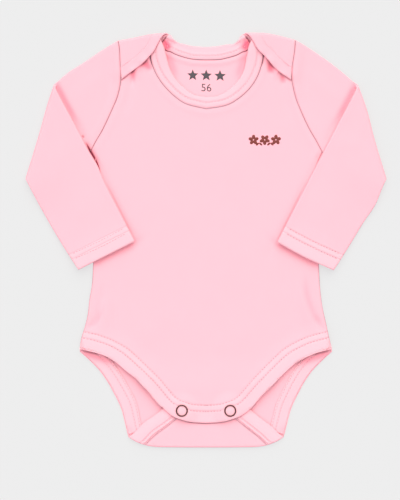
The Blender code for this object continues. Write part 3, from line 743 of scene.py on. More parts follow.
def back_neck_shade(half, from_seam, lap):
    """The shade in the seam of the back's neck band and under the start of the lap."""
    depth = BACK_SEAM_SHADE + BACK_SEAM_SHADE_ASIDE * ease(half[:, 0], *BACK_SEAM_ASIDE_OUT)
    depth = depth * (1 - ease(half[:, 0], *BACK_SEAM_OUT))
    nips = creased(NECK_CREASES, half[:, 0], half[:, 1])
    across, depth = deepest(nips, under_edge(from_seam, SEAM_CREASE, depth))
    return across, depth * (1 - lap)


def front_neck_depth(up):
    """Depth of the painted shade in the line of the front neck's seam at these heights."""
    more, middle, reach = FRONT_NECK_NIP
    return FRONT_NECK_DEPTH + more * bell(up, middle, reach)


def back_neck_depth(half, lap):
    """Depth of the painted shade in the line of the back neck's seam, which hardly shows along a lap."""
    return BACK_NECK_DEPTH * (1 - ease(half[:, 0], *BACK_NECK_OUT)) * (1 - lap) + LAP_SEAM_DEPTH * lap


def spots(table_rows, x, y):
    """Height of the local rises in a table at these places."""
    total = np.zeros_like(x)
    for spot in table_rows:
        total += spot.rise * bell(np.hypot(outward(spot, x) - spot.out, y - spot.up), 0, spot.reach)
    return total


def tall_neck(x, y):
    """How much higher all that lies over the back stands near the neck points."""
    reach = np.hypot(np.abs(x) - NECK_POINT[0], y - NECK_POINT[1])
    return NECK_LIFT * bell(reach, 0, NECK_LIFT_REACH)


def settled(place):
    """Places moved as the cloth lies a little to one side of its even cut."""
    moved = place.copy()
    for lie in LIE:
        weight = bell(np.hypot(place[:, 0] - lie.out, place[:, 1] - lie.up), 0, lie.reach)
        moved[:, 0] += lie.shift_out * weight
        moved[:, 1] += lie.shift_up * weight
    return moved


def seam_dip(from_seam):
    """Height that the cloth has at a seam, where it turns in, and beside it."""
    puff = PUFF_RISE * bell(from_seam, PUFF_AT, PUFF_WIDTH)
    return puff - VALLEY_DEPTH * bell(from_seam, 0, VALLEY_WIDTH)


def rolled(up):
    """How much of the side's roll there is at this height: none at the leg openings and armholes."""
    hip, underarm = SIDE_SEAM[0].up, SIDE_SEAM[-1].up
    return between(up, hip, hip + ROLL_RUN, underarm - ROLL_RUN, underarm)


def roll_side(x, y):
    """Where the pattern's x goes at the rolled side, and how far the cloth turns from its level."""
    amount = np.maximum(rolled(y), 1e-6)
    start = half_width(y) - EDGE_RADIUS
    past = np.maximum(np.abs(x) - start, 0)
    radius = EDGE_RADIUS / amount
    bent = past > 0
    out = np.where(bent, start + radius * np.sin(past / radius), np.abs(x))
    return np.copysign(out, x), radius * (1 - np.cos(past / radius))


def side_edges(count):
    """The side of the pattern from hip to underarm: where the roll starts, and the cut edge."""
    seam = curve(points(SIDE_SEAM), count)
    start = seam - (EDGE_RADIUS, 0)
    spare = (ROLL_LENGTH - EDGE_RADIUS) * rolled(seam[:, 1])
    return start, seam + np.column_stack([spare, np.zeros(len(seam))])


def joined(*edges):
    """Edges one after the other, each without the point that it shares with the last."""
    return np.vstack([edges[0], *[edge[1:] for edge in edges[1:]]])


def spaced(start, end, count):
    """count + 1 points spaced evenly on the centre line between two heights."""
    return np.column_stack([np.zeros(count + 1), np.linspace(start, end, count + 1)])


def mirrored(half):
    """Rows from the left side to the right, from rows that start at the centre line."""
    return np.concatenate([half[:, :0:-1] * (-1, 1), half], axis=1)


def with_roll(rows, edge):
    """The rows lengthened to the cut edge, by the columns that a roll needs."""
    share = np.array(ROLL_SHARES)[None, :, None]
    extra = rows[:, -1:] * (1 - share) + edge[:, None] * share
    return np.concatenate([rows, extra], axis=1)


def body_rows(bottom, leg, centre, top, armhole):
    """Rows of a whole panel's flat pattern, from its low end to its neck."""
    seam_start, seam_edge = side_edges(SIDE_ROWS)
    near_side = ease(leg[:, 1], SIDE_SEAM[0].up - ROLL_RUN, SIDE_SEAM[0].up)
    low_right = joined(inset(leg, LEG_RIM + (EDGE_RADIUS - LEG_RIM) * near_side), seam_start)
    low_edge = joined(leg, seam_edge)
    bottom = np.vstack([bottom[:-1], low_right[:1]])
    share = np.linspace(0, 1, len(bottom))[:, None]
    chest = centre[-1:] * (1 - share) + low_right[-1:] * share
    low = with_roll(patch(bottom, chest, centre, low_right), low_edge)
    arm_start = inset(armhole, EDGE_RADIUS)
    arm_start[0] = low_right[-1]
    armhole[0] = low_edge[-1]
    top = np.vstack([top[:-1], arm_start[-1:]])
    middle = spaced(centre[-1, 1], top[0, 1], len(armhole) - 1)
    high = with_roll(patch(chest, top, middle, arm_start), armhole)
    return mirrored(np.concatenate([low, high[1:]]))


def back_neck(count):
    """The seam and the free edge of the back's neck band on the flat pattern."""
    lines = []
    for neck, lap in ((BACK_NECK_SEAM, LAP_SEAM), (BACK_NECK_EDGE, LAP_EDGE)):
        laid = unfold(points(lap), SHOULDER_LINE, SHOULDER_RADIUS, 1)
        lines.append(curve(np.vstack([points(neck), laid]), count))
    return lines


BACK_NECK_LINE, BACK_NECK_EDGE_LINE = back_neck(2 * LINE_STEPS)
LAP_ARMHOLE_LINE = unfold(ARMHOLE_LINE, SHOULDER_LINE, SHOULDER_RADIUS, 1)


def back_leg_line():
    """The back's leg edge on the flat pattern, from the tail's end to the hip."""
    tail = unfold(points(TAIL_EDGE), CROTCH_LINE, TAIL_RADIUS, -1)
    return curve(np.vstack([tail, points(BACK_LEG)]), LEG_ROWS + TAIL_ROWS)


def back_pattern():
    """Rows of the back's flat pattern, with its tail and its laps."""
    armhole = inset(curve(points(ARMHOLE), YOKE_ROWS), ARMHOLE_INSET)
    lap = points(ARMHOLE)[::-1]
    lap = np.vstack([lap[lap[:, 1] > LAP_SEAM[-1].up], points(LAP_SEAM)[-1:]])
    lap = inset(unfold(lap, SHOULDER_LINE, SHOULDER_RADIUS, 1), ARMHOLE_INSET)
    lap_end = curve(np.vstack([armhole[-1:], lap[1:]]), LAP_ROWS)
    leg = back_leg_line()
    end_up = unfold(np.array([(0.0, TAIL_END_UP)]), CROTCH_LINE, TAIL_RADIUS, -1)[0, 1]
    bottom = curve(np.array([(0.0, end_up), leg[0]]), BODY_COLUMNS)
    centre = joined(
        spaced(end_up, BACK_HIP_UP, LEG_ROWS + TAIL_ROWS),
        spaced(BACK_HIP_UP, SIDE_SEAM[-1].up, SIDE_ROWS),
    )
    return body_rows(bottom, leg, centre, back_neck(BODY_COLUMNS)[0], joined(armhole, lap_end))


def front_edge():
    """The front's low edge, from the middle of the crotch tab to the hip."""
    return smooth_line(np.vstack([points(TAB_END), points(FRONT_LEG)[1:]]))


def front_pattern():
    """Rows of the front's flat pattern, from the crotch tab to the neck and shoulders."""
    leg = curve(points(FRONT_LEG), LEG_ROWS)
    bottom = curve(points(TAB_END), BODY_COLUMNS)
    centre = joined(
        spaced(TAB_END[0].up, FRONT_HIP_UP, LEG_ROWS),
        spaced(FRONT_HIP_UP, SIDE_SEAM[-1].up, SIDE_ROWS),
    )
    neck = curve(points(FRONT_NECK_SEAM), BODY_COLUMNS)
    outs = np.linspace(ARMHOLE[-1].out - SEAM_GAP, neck[-1, 0], SHOULDER_ROWS + 1)
    shoulder = np.column_stack([outs, read(SHOULDER_LINE, 0, outs) - FRONT_SHOULDER_DROP])
    armhole = points(ARMHOLE)
    armhole = np.vstack([armhole[armhole[:, 1] < shoulder[0, 1]], shoulder[:1]])
    armhole = inset(curve(armhole, YOKE_ROWS), ARMHOLE_INSET)
    shoulder[0] = armhole[-1]
    return body_rows(bottom, leg, centre, neck, joined(armhole, shoulder))


def band_rows(seam, edge):
    """Rows of a neck band's pattern, from its seam to its free edge."""
    run = edge - seam
    low = seam + run / np.linalg.norm(run, axis=1)[:, None] * BAND_GAP
    share = np.linspace(0, 1, BAND_ACROSS + 1)[:, None, None]
    return mirrored(low[None] * (1 - share) + edge[None] * share)


def back_face(p):
    """The back's outer face: it lies down, wraps over the shoulders and turns up at the crotch."""
    x, deep = roll_side(p[:, 0], p[:, 1])
    y = p[:, 1].copy()
    wrap = read(SHOULDER_LINE, 0, np.abs(x)) - SHOULDER_RADIUS
    tuck = read(CROTCH_LINE, 0, np.abs(x)) + TAIL_RADIUS
    over, under = y > wrap, y < tuck
    over_reach, over_deep = turn(y - wrap, SHOULDER_RADIUS)
    under_reach, under_deep = turn(tuck - y, TAIL_RADIUS)
    deep = np.where(over, over_deep, np.where(under, under_deep, deep))
    y = np.where(over, wrap + over_reach, np.where(under, tuck - under_reach, y))
    return np.column_stack([x, y, deep])


def over_shoulder(p, shares=TOP_HALF):
    """Whether cloth has turned over the shoulder, from 0 to 1 between these shares of the turn."""
    past = p[:, 1] - read(SHOULDER_LINE, 0, np.abs(p[:, 0])) + SHOULDER_RADIUS
    return ease(past / (math.pi * SHOULDER_RADIUS), *shares)


def turned_up(p, shares=TOP_HALF):
    """Whether cloth has turned up at the crotch, from 0 to 1 between these shares of the turn."""
    past = read(CROTCH_LINE, 0, np.abs(p[:, 0])) + TAIL_RADIUS - p[:, 1]
    return ease(past / (math.pi * TAIL_RADIUS), *shares)


def right_side(p):
    """Places of both halves brought to the right half."""
    return np.column_stack([np.abs(p[:, 0]), p[:, 1]])


def hem_profile(from_edge, rows_at, rise):
    """Height of a turned hem's outer face: a flat band that rounds off at its edge."""
    band = 1 - ease(from_edge - rows_at[1], *HEM_STEP)
    rounding = 1 - ease(from_edge, 0, EDGE_ROUND)
    return rise * band - EDGE_DROP * rounding


def row_of(from_edge, rows_at):
    """0 on a hem's first row of stitches and 1 on its second."""
    return np.clip((from_edge - rows_at[0]) / (rows_at[1] - rows_at[0]), -FAR, FAR)


def from_tail_edge(p):
    """Distance on the laid tail from its edge, which its hem follows straight on to the crotch."""
    return distance(right_side(back_face(p)), TAIL_RUN_LINE)


def in_tail_hem(from_edge):
    """1 on the tail's hem and 0 past it."""
    return 1 - ease(from_edge, TAIL_HEM - TAIL_HEM_STEP, TAIL_HEM + TAIL_HEM_STEP)


def tail_hem(from_edge):
    """Height of the tail's outer face across its hem, which ends in a crisp line."""
    band = TAIL_HEM_RISE * in_tail_hem(from_edge)
    drop = TAIL_EDGE_DROP * (1 - ease(from_edge, 0, TAIL_EDGE_RUN))
    depth, width = TAIL_VALLEY
    return band - drop - depth * bell(from_edge, TAIL_VALLEY_AT, width)


def neck_rise(from_seam, x, y):
    """Rise of the lying back beside its neck's seam, with its crumples there."""
    return NECK_PUFF * bell(from_seam, *NECK_PUFF_AT) + relief(BACK_FOLDS, x, y)


def back_place(p):
    """The back's outer face, with its hems, its seams and its laps' puff."""
    place = back_face(p)
    half = right_side(p)
    x, y = place[:, 0], place[:, 1]
    lap, tail = over_shoulder(p), turned_up(p)
    from_neck = distance(half, BACK_NECK_LINE)
    place[:, 2] += tail * tail_hem(from_tail_edge(p))
    seams = seam_dip(distance(half, LAP_ARMHOLE_LINE)) + LAP_SEAM_SHARE * seam_dip(from_neck)
    place[:, 2] += lap * (seams + tall_neck(x, y) + spots(LAP_RISES, x, y))
    place[:, 2] += (1 - lap) * (1 - tail) * neck_rise(from_neck, x, y)
    return place


def leg_lift(x, from_edge):
    """How far the front's leg hem stands up off the back."""
    return LEG_LIFT * between(np.abs(x), *LEG_LIFT_OUT) * (1 - ease(from_edge, 0, LEG_LIFT_RUN))


def front_level(x, y):
    """Height of the front's outer face, which rides over the tail and the snaps."""
    aside = TAIL_RAMP_ASIDE * (np.abs(x) - read(TAIL_LINE, 1, y))
    on_tail = 1 - ease(np.maximum(y - TAIL_END_UP, aside), *TAIL_RAMP)
    from_snap = np.hypot(np.abs(x) - SNAP_OUT, y - SNAP_UP)
    on_snap = 1 - ease(from_snap, *SNAP_RAMP)
    (rise, reach), (dent, width) = SNAP_PUFF, SNAP_DENT
    puff = rise * bell(from_snap, 0, reach) - dent * bell(from_snap, SNAP_RING, width)
    lift = TAB_OVER_TAIL * on_tail + TAB_OVER_SNAP * on_snap + puff
    inside_seam = ease(half_width(y) - np.abs(x), EDGE_RADIUS, 3 * EDGE_RADIUS)
    return BODY_HEIGHT + lift + relief(FRONT_FOLDS, x, y) * inside_seam + tall_neck(x, y)


def front_place(p):
    """The front's outer face, which rolls down at the side seams, with its hems and seams."""
    x, drop = roll_side(p[:, 0], p[:, 1])
    y = p[:, 1]
    half = right_side(p)
    from_edge = distance(half, front_edge())
    deep = front_level(x, y) - drop
    deep += seam_dip(distance(half, ARMHOLE_LINE)) + seam_dip(distance(half, FRONT_NECK_LINE))
    deep += hem_profile(from_edge, LEG_ROWS_AT, HEM_RISE) + leg_lift(x, from_edge)
    return np.column_stack([x, y, deep])


def grid(rows, cut):
    """A bmesh grid with its corners at these rows of places, and its places on the flat cloth."""
    bm = bmesh.new()
    across, along = rows.shape[1] - 1, rows.shape[0] - 1
    layer = bm.verts.layers.float_vector.new("cut")
    made = bmesh.ops.create_grid(bm, x_segments=across, y_segments=along, size=1.0)
    for vert in made["verts"]:
        i = round((vert.co.x + 1) / 2 * across)
        j = round((vert.co.y + 1) / 2 * along)
        vert.co = (*rows[j, i], 0.0) if rows.shape[2] == 2 else rows[j, i]
        vert[layer] = (*cut[j, i], 0.0)
    return bm


def cut_folds(bm):
    """Cuts that let a back piece wrap over the shoulders and turn up at the crotch."""
    wrap_low = SHOULDER[-1].up - SHOULDER_RADIUS
    wrap_high = SHOULDER[0].up + (math.pi - 1) * SHOULDER_RADIUS
    tuck_high = CROTCH[-1].up + TAIL_RADIUS
    tuck_low = CROTCH[0].up - (math.pi - 1) * TAIL_RADIUS
    heights = [*np.linspace(wrap_low, wrap_high, FOLD_CUTS), *np.linspace(tuck_high, tuck_low, FOLD_CUTS)]
    for up in heights:
        near = [v for v in bm.verts if abs(v.co.y - up) < CUT_REACH]
        edges = {e for v in near for e in v.link_edges}
        faces = {f for v in near for f in v.link_faces}
        bmesh.ops.bisect_plane(
            bm, geom=[*near, *edges, *faces], dist=CUT_SNAP, plane_co=(0, up, 0), plane_no=(0, 1, 0)
        )


def mesh_of(name, bm):
    """A mesh of this name from a bmesh, which is then let go."""
    mesh = bpy.data.meshes.new(name)
    bm.to_mesh(mesh)
    bm.free()
    return mesh


def piece(mesh, surface):
    """The finished piece that this mesh is, with its name and its material."""
    mesh.shade_smooth()
    mesh.materials.append(surface)
    made = bpy.data.objects.new(mesh.name, mesh)
    bpy.context.scene.collection.objects.link(made)
    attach(made, BODY)
    return made


def cloth(name, bm, place, marks, wall, surface):
    """A cloth piece in metres from a bmesh in millimetres. marks gives its rows, seam and crease, which
    carry its painted shade.
    """
    mesh = mesh_of(name, bm)
    at = np.zeros(len(mesh.vertices) * 3)
    mesh.vertices.foreach_get("co", at)
    at = at.reshape(-1, 3)
    row, seam, crease = marks(at)
    rows = mesh.attributes.new("row", "FLOAT", "POINT")
    rows.data.foreach_set("value", np.asarray(np.broadcast_to(row, len(at)), np.float32))
    for kind, parts in (("seam", seam), ("crease", crease)):
        values = np.column_stack([np.broadcast_to(part, len(at)) for part in parts]).astype(np.float32)
        mesh.attributes.new(kind, "FLOAT_VECTOR", "POINT").data.foreach_set("vector", values.ravel())
    mesh.vertices.foreach_set("co", (settled(place(at)) * MM).ravel())
    made = piece(mesh, surface)
    solidify = made.modifiers.new("wall", "SOLIDIFY")
    solidify.thickness = wall
    solidify.offset = -1.0
    return made


def half_strip(count):
    """Rows of the back's turned leg hem on the flat pattern, from its folded edge in."""
    past_crotch, short_of_side = LEG_HEM_ENDS
    line = back_leg_line()
    line = line[line[:, 1] > BACK_LEG[0].up - past_crotch]
    edge = curve(line[::2], count)
    share = np.linspace(*LEG_HEM_SHARES)[:, None, None]
    inner = inset(edge, LEG_HEM_TURN)
    inner[:, 0] = np.minimum(inner[:, 0], half_width(inner[:, 1]) - short_of_side)
    return edge[None] * (1 - share) + inner[None] * share


def on_body(x, y):
    """How much a folded sleeve is held up here by the body and the sleeve under it, from 0 to 1."""
    beside = x - half_width(np.minimum(y, SIDE_SEAM[-1].up))
    underarm = points(SIDE_SEAM)[-1]
    run = unit(FOLD_UNDER - underarm)
    below = -(run[0] * (y - underarm[1]) - run[1] * (x - underarm[0]))
    both = -SAG_BLEND * np.logaddexp(-beside / SAG_BLEND, -below / SAG_BLEND)
    return 1 - ease(np.maximum(0, both), SAG_CLEAR, SAG_RUN)


def sleeve_stations(side):
    """Each ring's under and top ends, height, direction of its front and share of the armhole."""
    fold = unit(FOLD_TOP - FOLD_UNDER)
    past_fold = np.array((fold[1], -fold[0]))
    plate = BODY_HEIGHT / 2
    turn_radius = SLEEVE_LIFT / 2

    def where_fold_starts(corner, other):
        reach = (turn_radius + plate) / abs((other - corner) @ past_fold)
        return corner + (other - corner) * reach

    tip, underarm = points(ARMHOLE)[-1], points(ARMHOLE)[0]
    near_top = where_fold_starts(FOLD_TOP, tip)
    near_under = where_fold_starts(FOLD_UNDER, underarm)
    far_top = where_fold_starts(FOLD_TOP, CUFF_INNER)
    far_under = where_fold_starts(FOLD_UNDER, CUFF_OUTER)
    up = np.array((0.0, 0.0, 1.0))
    out = np.array((*past_fold, 0.0))
    upper_bulge, outer_bulge = SLEEVE_BULGES[side]

    def bulged(start, end, t, bulge):
        run = unit(end - start)
        return start + (end - start) * t + np.array((-run[1], run[0])) * bulge * 4 * t * (1 - t)

    stations = []
    for t in np.linspace(0, 1, SLEEVE_NEAR, endpoint=False):
        under = underarm + (near_under - underarm) * t
        top = bulged(tip, near_top, t, upper_bulge)
        stations.append((under, top, plate, up, (1 - t) ** 2))
    for t in np.linspace(0, 1, SLEEVE_TURN + 1):
        angle = math.pi * t
        bulge = past_fold * turn_radius * math.sin(angle)
        under = near_under + (far_under - near_under) * t + bulge
        top = near_top + (far_top - near_top) * t + bulge
        deep = plate + turn_radius * (1 - math.cos(angle))
        stations.append((under, top, deep, up * math.cos(angle) - out * math.sin(angle), 0.0))
    for t in np.linspace(0, 1, SLEEVE_FAR + 1)[1:]:
        under = bulged(far_under, CUFF_OUTER, t, outer_bulge)
        top = far_top + (CUFF_INNER - far_top) * t
        stations.append((under, top, plate + SLEEVE_LIFT, -up, 0.0))
    return stations


def sleeve_ring(length):
    """Places round a flattened sleeve: along its width, and out from its middle plane."""
    radius = EDGE_RADIUS
    wide = length - 2 * radius
    ring = [(radius + wide * k / SLEEVE_ACROSS, radius) for k in range(SLEEVE_ACROSS)]
    for k in range(SLEEVE_EDGE_STEPS):
        angle = math.pi * k / SLEEVE_EDGE_STEPS
        ring.append((length - radius + radius * math.sin(angle), radius * math.cos(angle)))
    ring += [(length - radius - wide * k / SLEEVE_ACROSS, -radius) for k in range(SLEEVE_ACROSS)]
    for k in range(SLEEVE_EDGE_STEPS + 1):
        angle = math.pi * k / SLEEVE_EDGE_STEPS
        ring.append((radius - radius * math.sin(angle), -radius * math.cos(angle)))
    return np.array(ring)


def sleeve_rows(side):
    """Rings of a sleeve, brought to the right, from armhole to cuff, and their places on the flat cloth."""
    chord = ARMHOLE_LINE[-1] - ARMHOLE_LINE[0]
    aside = np.array((chord[1], -chord[0])) / np.linalg.norm(chord) * SEAM_GAP
    rows, cuts = [], []
    run_at = 0.0
    middle_before = None
    for under, top, deep, facing, at_armhole in sleeve_stations(side):
        run = top - under
        length = np.linalg.norm(run)
        ring = sleeve_ring(length)
        along, out = ring[:, :1], ring[:, 1:]
        share = np.clip(along / length, 0, 1)
        on_chord = ARMHOLE_LINE[0] + chord * share
        on_curve = at_lengths(ARMHOLE_LINE, share[:, 0] * lengths(ARMHOLE_LINE)[-1])
        flat = under + run * (along / length) + (on_curve - on_chord + aside) * at_armhole
        place = np.column_stack([flat, np.full(len(flat), deep)]) + facing * out
        if facing[2] < 0 and deep > BODY_HEIGHT:
            place[:, 2] -= SLEEVE_LIFT * (1 - on_body(place[:, 0], place[:, 1]))
        middle = np.array((*(under + top) / 2, deep))
        if middle_before is not None:
            run_at += np.linalg.norm(middle - middle_before)
        middle_before = middle
        rows.append(place)
        cuts.append(np.column_stack([lengths(ring), np.full(len(ring), run_at)]))
    return np.array(rows), np.array(cuts)


CUFF_RUN = unit(CUFF_INNER - CUFF_OUTER)


def cuff_distance(x, y):
    """Distance from the cuff's edge, in the plane."""
    return (x - CUFF_OUTER[0]) * CUFF_RUN[1] - (y - CUFF_OUTER[1]) * CUFF_RUN[0]


def sleeve_shape(place, side):
    """The sleeve's places with its folds, cuff hem and seam, on the right (side 1) or left (-1)."""
    x, y, z = place.T
    near = between(z, *NEAR_FOLDS_AT)
    far = ease(z, *FAR_FOLDS_AT)
    rise = relief(NEAR_SLEEVE_FOLDS, side * x, y) * near + relief(FAR_SLEEVE_FOLDS, side * x, y) * far
    folded = ease(z, BODY_HEIGHT, BODY_HEIGHT + FOLDED_OVER)
    from_cuff = cuff_distance(x, y)
    rise += folded * CUFF_LIFT * (1 - ease(from_cuff, 0, CUFF_LIFT_RUN)) * on_body(x, y)
    on_top = ease(z - SLEEVE_LIFT, *CUFF_TOP)
    rise += on_top * hem_profile(from_cuff, CUFF_ROWS_AT, HEM_RISE)
    from_seam = distance(np.column_stack([x, y]), ARMHOLE_LINE)
    head = ease(z, *HEAD_DEEP) * (1 - folded)
    beside_lap = ease(y - LAP_EDGE[-1].up, *BESIDE_LAP)
    rise += head * (seam_dip(from_seam) + SLEEVE_MEETS_LAP * bell(from_seam, 0, LAP_REACH) * beside_lap)
    return np.column_stack([side * x, y, z + rise])


def node(tree, kind, inputs=None, **settings):
    """A new shader node with its settings and values. A value that is a node or a socket is linked."""
    made = tree.nodes.new("ShaderNode" + kind)
    for name, value in settings.items():
        setattr(made, name, value)
    for key, value in (inputs or {}).items():
        if isinstance(value, bpy.types.Node):
            value = value.outputs[0]
        if isinstance(value, bpy.types.NodeSocket):
            tree.links.new(value, made.inputs[key])
        else:
            made.inputs[key].default_value = value
    return made


def new_material(name):
    """A material, its tree and its Principled shader."""
    made = bpy.data.materials.new(name)
    made.use_nodes = True
    return made, made.node_tree, made.node_tree.nodes["Principled BSDF"]


def interlock(name, settings):
    """Combed cotton interlock, weft-knitted and dyed: matt, with a faint nap and fine upright wales.
    The knit is drawn a little coarser than the real 0.7 mm, so that it shows."""
    made, tree, shader = new_material(name)
    colour = settings.colour
    cut = node(tree, "Attribute", attribute_name="cut").outputs["Vector"]
    row = node(tree, "Attribute", attribute_name="row").outputs["Fac"]
    place = node(tree, "SeparateXYZ", {0: cut})
    wales = node(tree, "Math", {0: place.outputs["X"], 1: math.pi / settings.wale}, operation="MULTIPLY")
    wale = node(tree, "Math", {0: wales}, operation="SINE")
    wale = node(tree, "Math", {0: wale}, operation="ABSOLUTE")
    courses = node(
        tree,
        "Math",
        {0: place.outputs["Y"], 1: 2 * math.pi / settings.course, 2: wale},
        operation="MULTIPLY_ADD",
    )
    course = node(tree, "Math", {0: courses}, operation="SINE")
    loops = node(tree, "Math", {0: course, 1: 0.25, 2: wale}, operation="MULTIPLY_ADD")
    fuzz = node(tree, "TexNoise", {"Vector": cut, "Scale": 1600.0, "Detail": 2.0})
    height = node(tree, "Math", {0: fuzz.outputs["Fac"], 1: 0.8, 2: loops}, operation="MULTIPLY_ADD")
    knit_bump = node(
        tree,
        "Bump",
        {"Strength": settings.knit_strength, "Distance": 0.00012, "Height": height},
    )
    groove = None
    for at in (0.0, 1.0):
        past = node(tree, "Math", {0: row, 1: at}, operation="SUBTRACT")
        square = node(tree, "Math", {0: past, 1: 2.0}, operation="POWER")
        fall = node(tree, "Math", {0: square, 1: -40.0}, operation="MULTIPLY")
        dip = node(tree, "Math", {0: fall}, operation="EXPONENT")
        if groove is None:
            groove = dip
        else:
            groove = node(tree, "Math", {0: groove, 1: dip}, operation="ADD")
    groove_bump = node(
        tree,
        "Bump",
        {"Strength": 0.7, "Distance": 0.0006, "Height": groove, "Normal": knit_bump},
        invert=True,
    )
    mottle = node(tree, "TexNoise", {"Vector": cut, "Scale": 60.0, "Detail": 4.0})
    tint = node(
        tree,
        "Mix",
        {"Factor": mottle.outputs["Fac"], "A": (*colour, 1.0), "B": (*settings.shade_colour, 1.0)},
        data_type="RGBA",
    )
    seam, crease = (
        node(tree, "SeparateXYZ", {0: node(tree, "Attribute", attribute_name=name).outputs["Vector"]})
        for name in ("seam", "crease")
    )
    surface = tint.outputs["Result"]
    # The hollows' deeper pink is painted shade; a doubled hem or band has its own pink
    for share, shown in (
        (seam.outputs["Z"], settings.double_colour),
        (crease.outputs["Z"], settings.hollow_shade_colour),
    ):
        mixed = node(tree, "Mix", {"Factor": share, "A": surface, "B": (*shown, 1.0)}, data_type="RGBA")
        surface = mixed.outputs["Result"]
    # Painted shade: the fine lines of seams and tight creases, as dark as their depth
    for lines, shown in ((seam, settings.seam_shade_colour), (crease, settings.crease_shade_colour)):
        across = node(tree, "Math", {0: lines.outputs["X"], 1: 2.0}, operation="POWER")
        fall = node(tree, "Math", {0: across, 1: -1.0}, operation="MULTIPLY")
        line = node(tree, "Math", {0: fall}, operation="EXPONENT")
        depth = node(tree, "Math", {0: line, 1: lines.outputs["Y"]}, operation="MULTIPLY")
        mixed = node(tree, "Mix", {"Factor": depth, "A": surface, "B": (*shown, 1.0)}, data_type="RGBA")
        surface = mixed.outputs["Result"]
    tree.links.new(surface, shader.inputs["Base Color"])
    tree.links.new(groove_bump.outputs[0], shader.inputs["Normal"])
    shader.inputs["Roughness"].default_value = 0.95
    shader.inputs["Sheen Weight"].default_value = 0.03
    shader.inputs["Sheen Roughness"].default_value = 0.5
    shader.inputs["Sheen Tint"].default_value = (*colour, 1.0)
    shader.inputs["Specular IOR Level"].default_value = 0.1
    return made


def thread(name, colour):
    """Spun polyester sewing thread: matt, with a slight twist."""
    made, tree, shader = new_material(name)
    place = node(tree, "TexCoord").outputs["Object"]
    twist = node(tree, "TexNoise", {"Vector": place, "Scale": 3500.0, "Detail": 1.0})
    bump = node(tree, "Bump", {"Strength": 0.4, "Distance": 0.00005, "Height": twist.outputs["Fac"]})
    tree.links.new(bump.outputs[0], shader.inputs["Normal"])
    shader.inputs["Base Color"].default_value = (*colour, 1.0)
    shader.inputs["Roughness"].default_value = 0.6
    return made


def snap_metal(name, settings):
    """Brass with a dark nickel plating, pressed and tumbled: satin, with soft blotches of wear."""
    made, tree, shader = new_material(name)
    place = node(tree, "TexCoord").outputs["Object"]
    wear = node(tree, "TexNoise", {"Vector": place, "Scale": 900.0, "Detail": 3.0})
    tint = node(
        tree,
        "Mix",
        {"Factor": wear.outputs["Fac"], "A": (*settings.colour, 1.0), "B": (*settings.worn_colour, 1.0)},
        data_type="RGBA",
    )
    tree.links.new(tint.outputs["Result"], shader.inputs["Base Color"])
    shader.inputs["Metallic"].default_value = 1.0
    shader.inputs["Roughness"].default_value = settings.roughness
    return made


def embroidery(colour):
    """Filament rayon in satin stitch: silky, in close parallel threads."""
    made, tree, shader = new_material("rayon embroidery thread")
    cut = node(tree, "Attribute", attribute_name="cut").outputs["Vector"]
    place = node(tree, "SeparateXYZ", {0: cut})
    apart = SATIN_THREAD * MM
    turned = node(tree, "Math", {0: place.outputs["X"], 1: 2 * math.pi / apart}, operation="MULTIPLY")
    threads = node(tree, "Math", {0: turned}, operation="SINE")
    bump = node(tree, "Bump", {"Strength": 0.5, "Distance": 0.00008, "Height": threads})
    tree.links.new(bump.outputs[0], shader.inputs["Normal"])
    shader.inputs["Base Color"].default_value = (*colour, 1.0)
    shader.inputs["Roughness"].default_value = 0.5
    return made


def screen_ink(colour):
    """Water-based screen ink that has soaked into the knit: matt and slightly uneven."""
    made, tree, shader = new_material("screen printing ink")
    place = node(tree, "TexCoord").outputs["Object"]
    grain = node(tree, "TexNoise", {"Vector": place, "Scale": 1400.0, "Detail": 2.0})
    bump = node(tree, "Bump", {"Strength": 0.2, "Distance": 0.0001, "Height": grain.outputs["Fac"]})
    tree.links.new(bump.outputs[0], shader.inputs["Normal"])
    shader.inputs["Base Color"].default_value = (*colour, 1.0)
    shader.inputs["Roughness"].default_value = 0.9
    shader.inputs["Specular IOR Level"].default_value = 0.2
    return made


def kept_material(make, name, *given):
    """The material of this name, made when first asked for."""
    return bpy.data.materials.get(name) or make(name, *given)


def cloth_material():
    """The panels' and sleeves' knit."""
    return kept_material(interlock, "cotton interlock", bpy.context.scene.bodysuit_cloth)


def binding_material():
    """The neck binding's knit, which is the same cloth folded double."""
    return kept_material(interlock, "folded interlock binding", bpy.context.scene.bodysuit_cloth)


def thread_material():
    """The hems' sewing thread, greyed with painted shade."""
    return kept_material(thread, "pink sewing thread", bpy.context.scene.bodysuit_sewing.colour)


def pale_thread_material():
    """The paler thread of the neck bands and the tail."""
    return kept_material(thread, "pale sewing thread", bpy.context.scene.bodysuit_sewing.pale_colour)


def metal_material():
    """The snaps' metal."""
    return kept_material(snap_metal, "dark nickel-plated brass", bpy.context.scene.bodysuit_snaps)


def colour_property(name, description, code):
    """A colour to set, from its sRGB hex code."""
    return FloatVectorProperty(name=name, description=description, default=linear(code), subtype="COLOR")


def length_property(name, description, metres):
    """A length to set."""
    return FloatProperty(name=name, description=description, default=metres, unit="LENGTH")


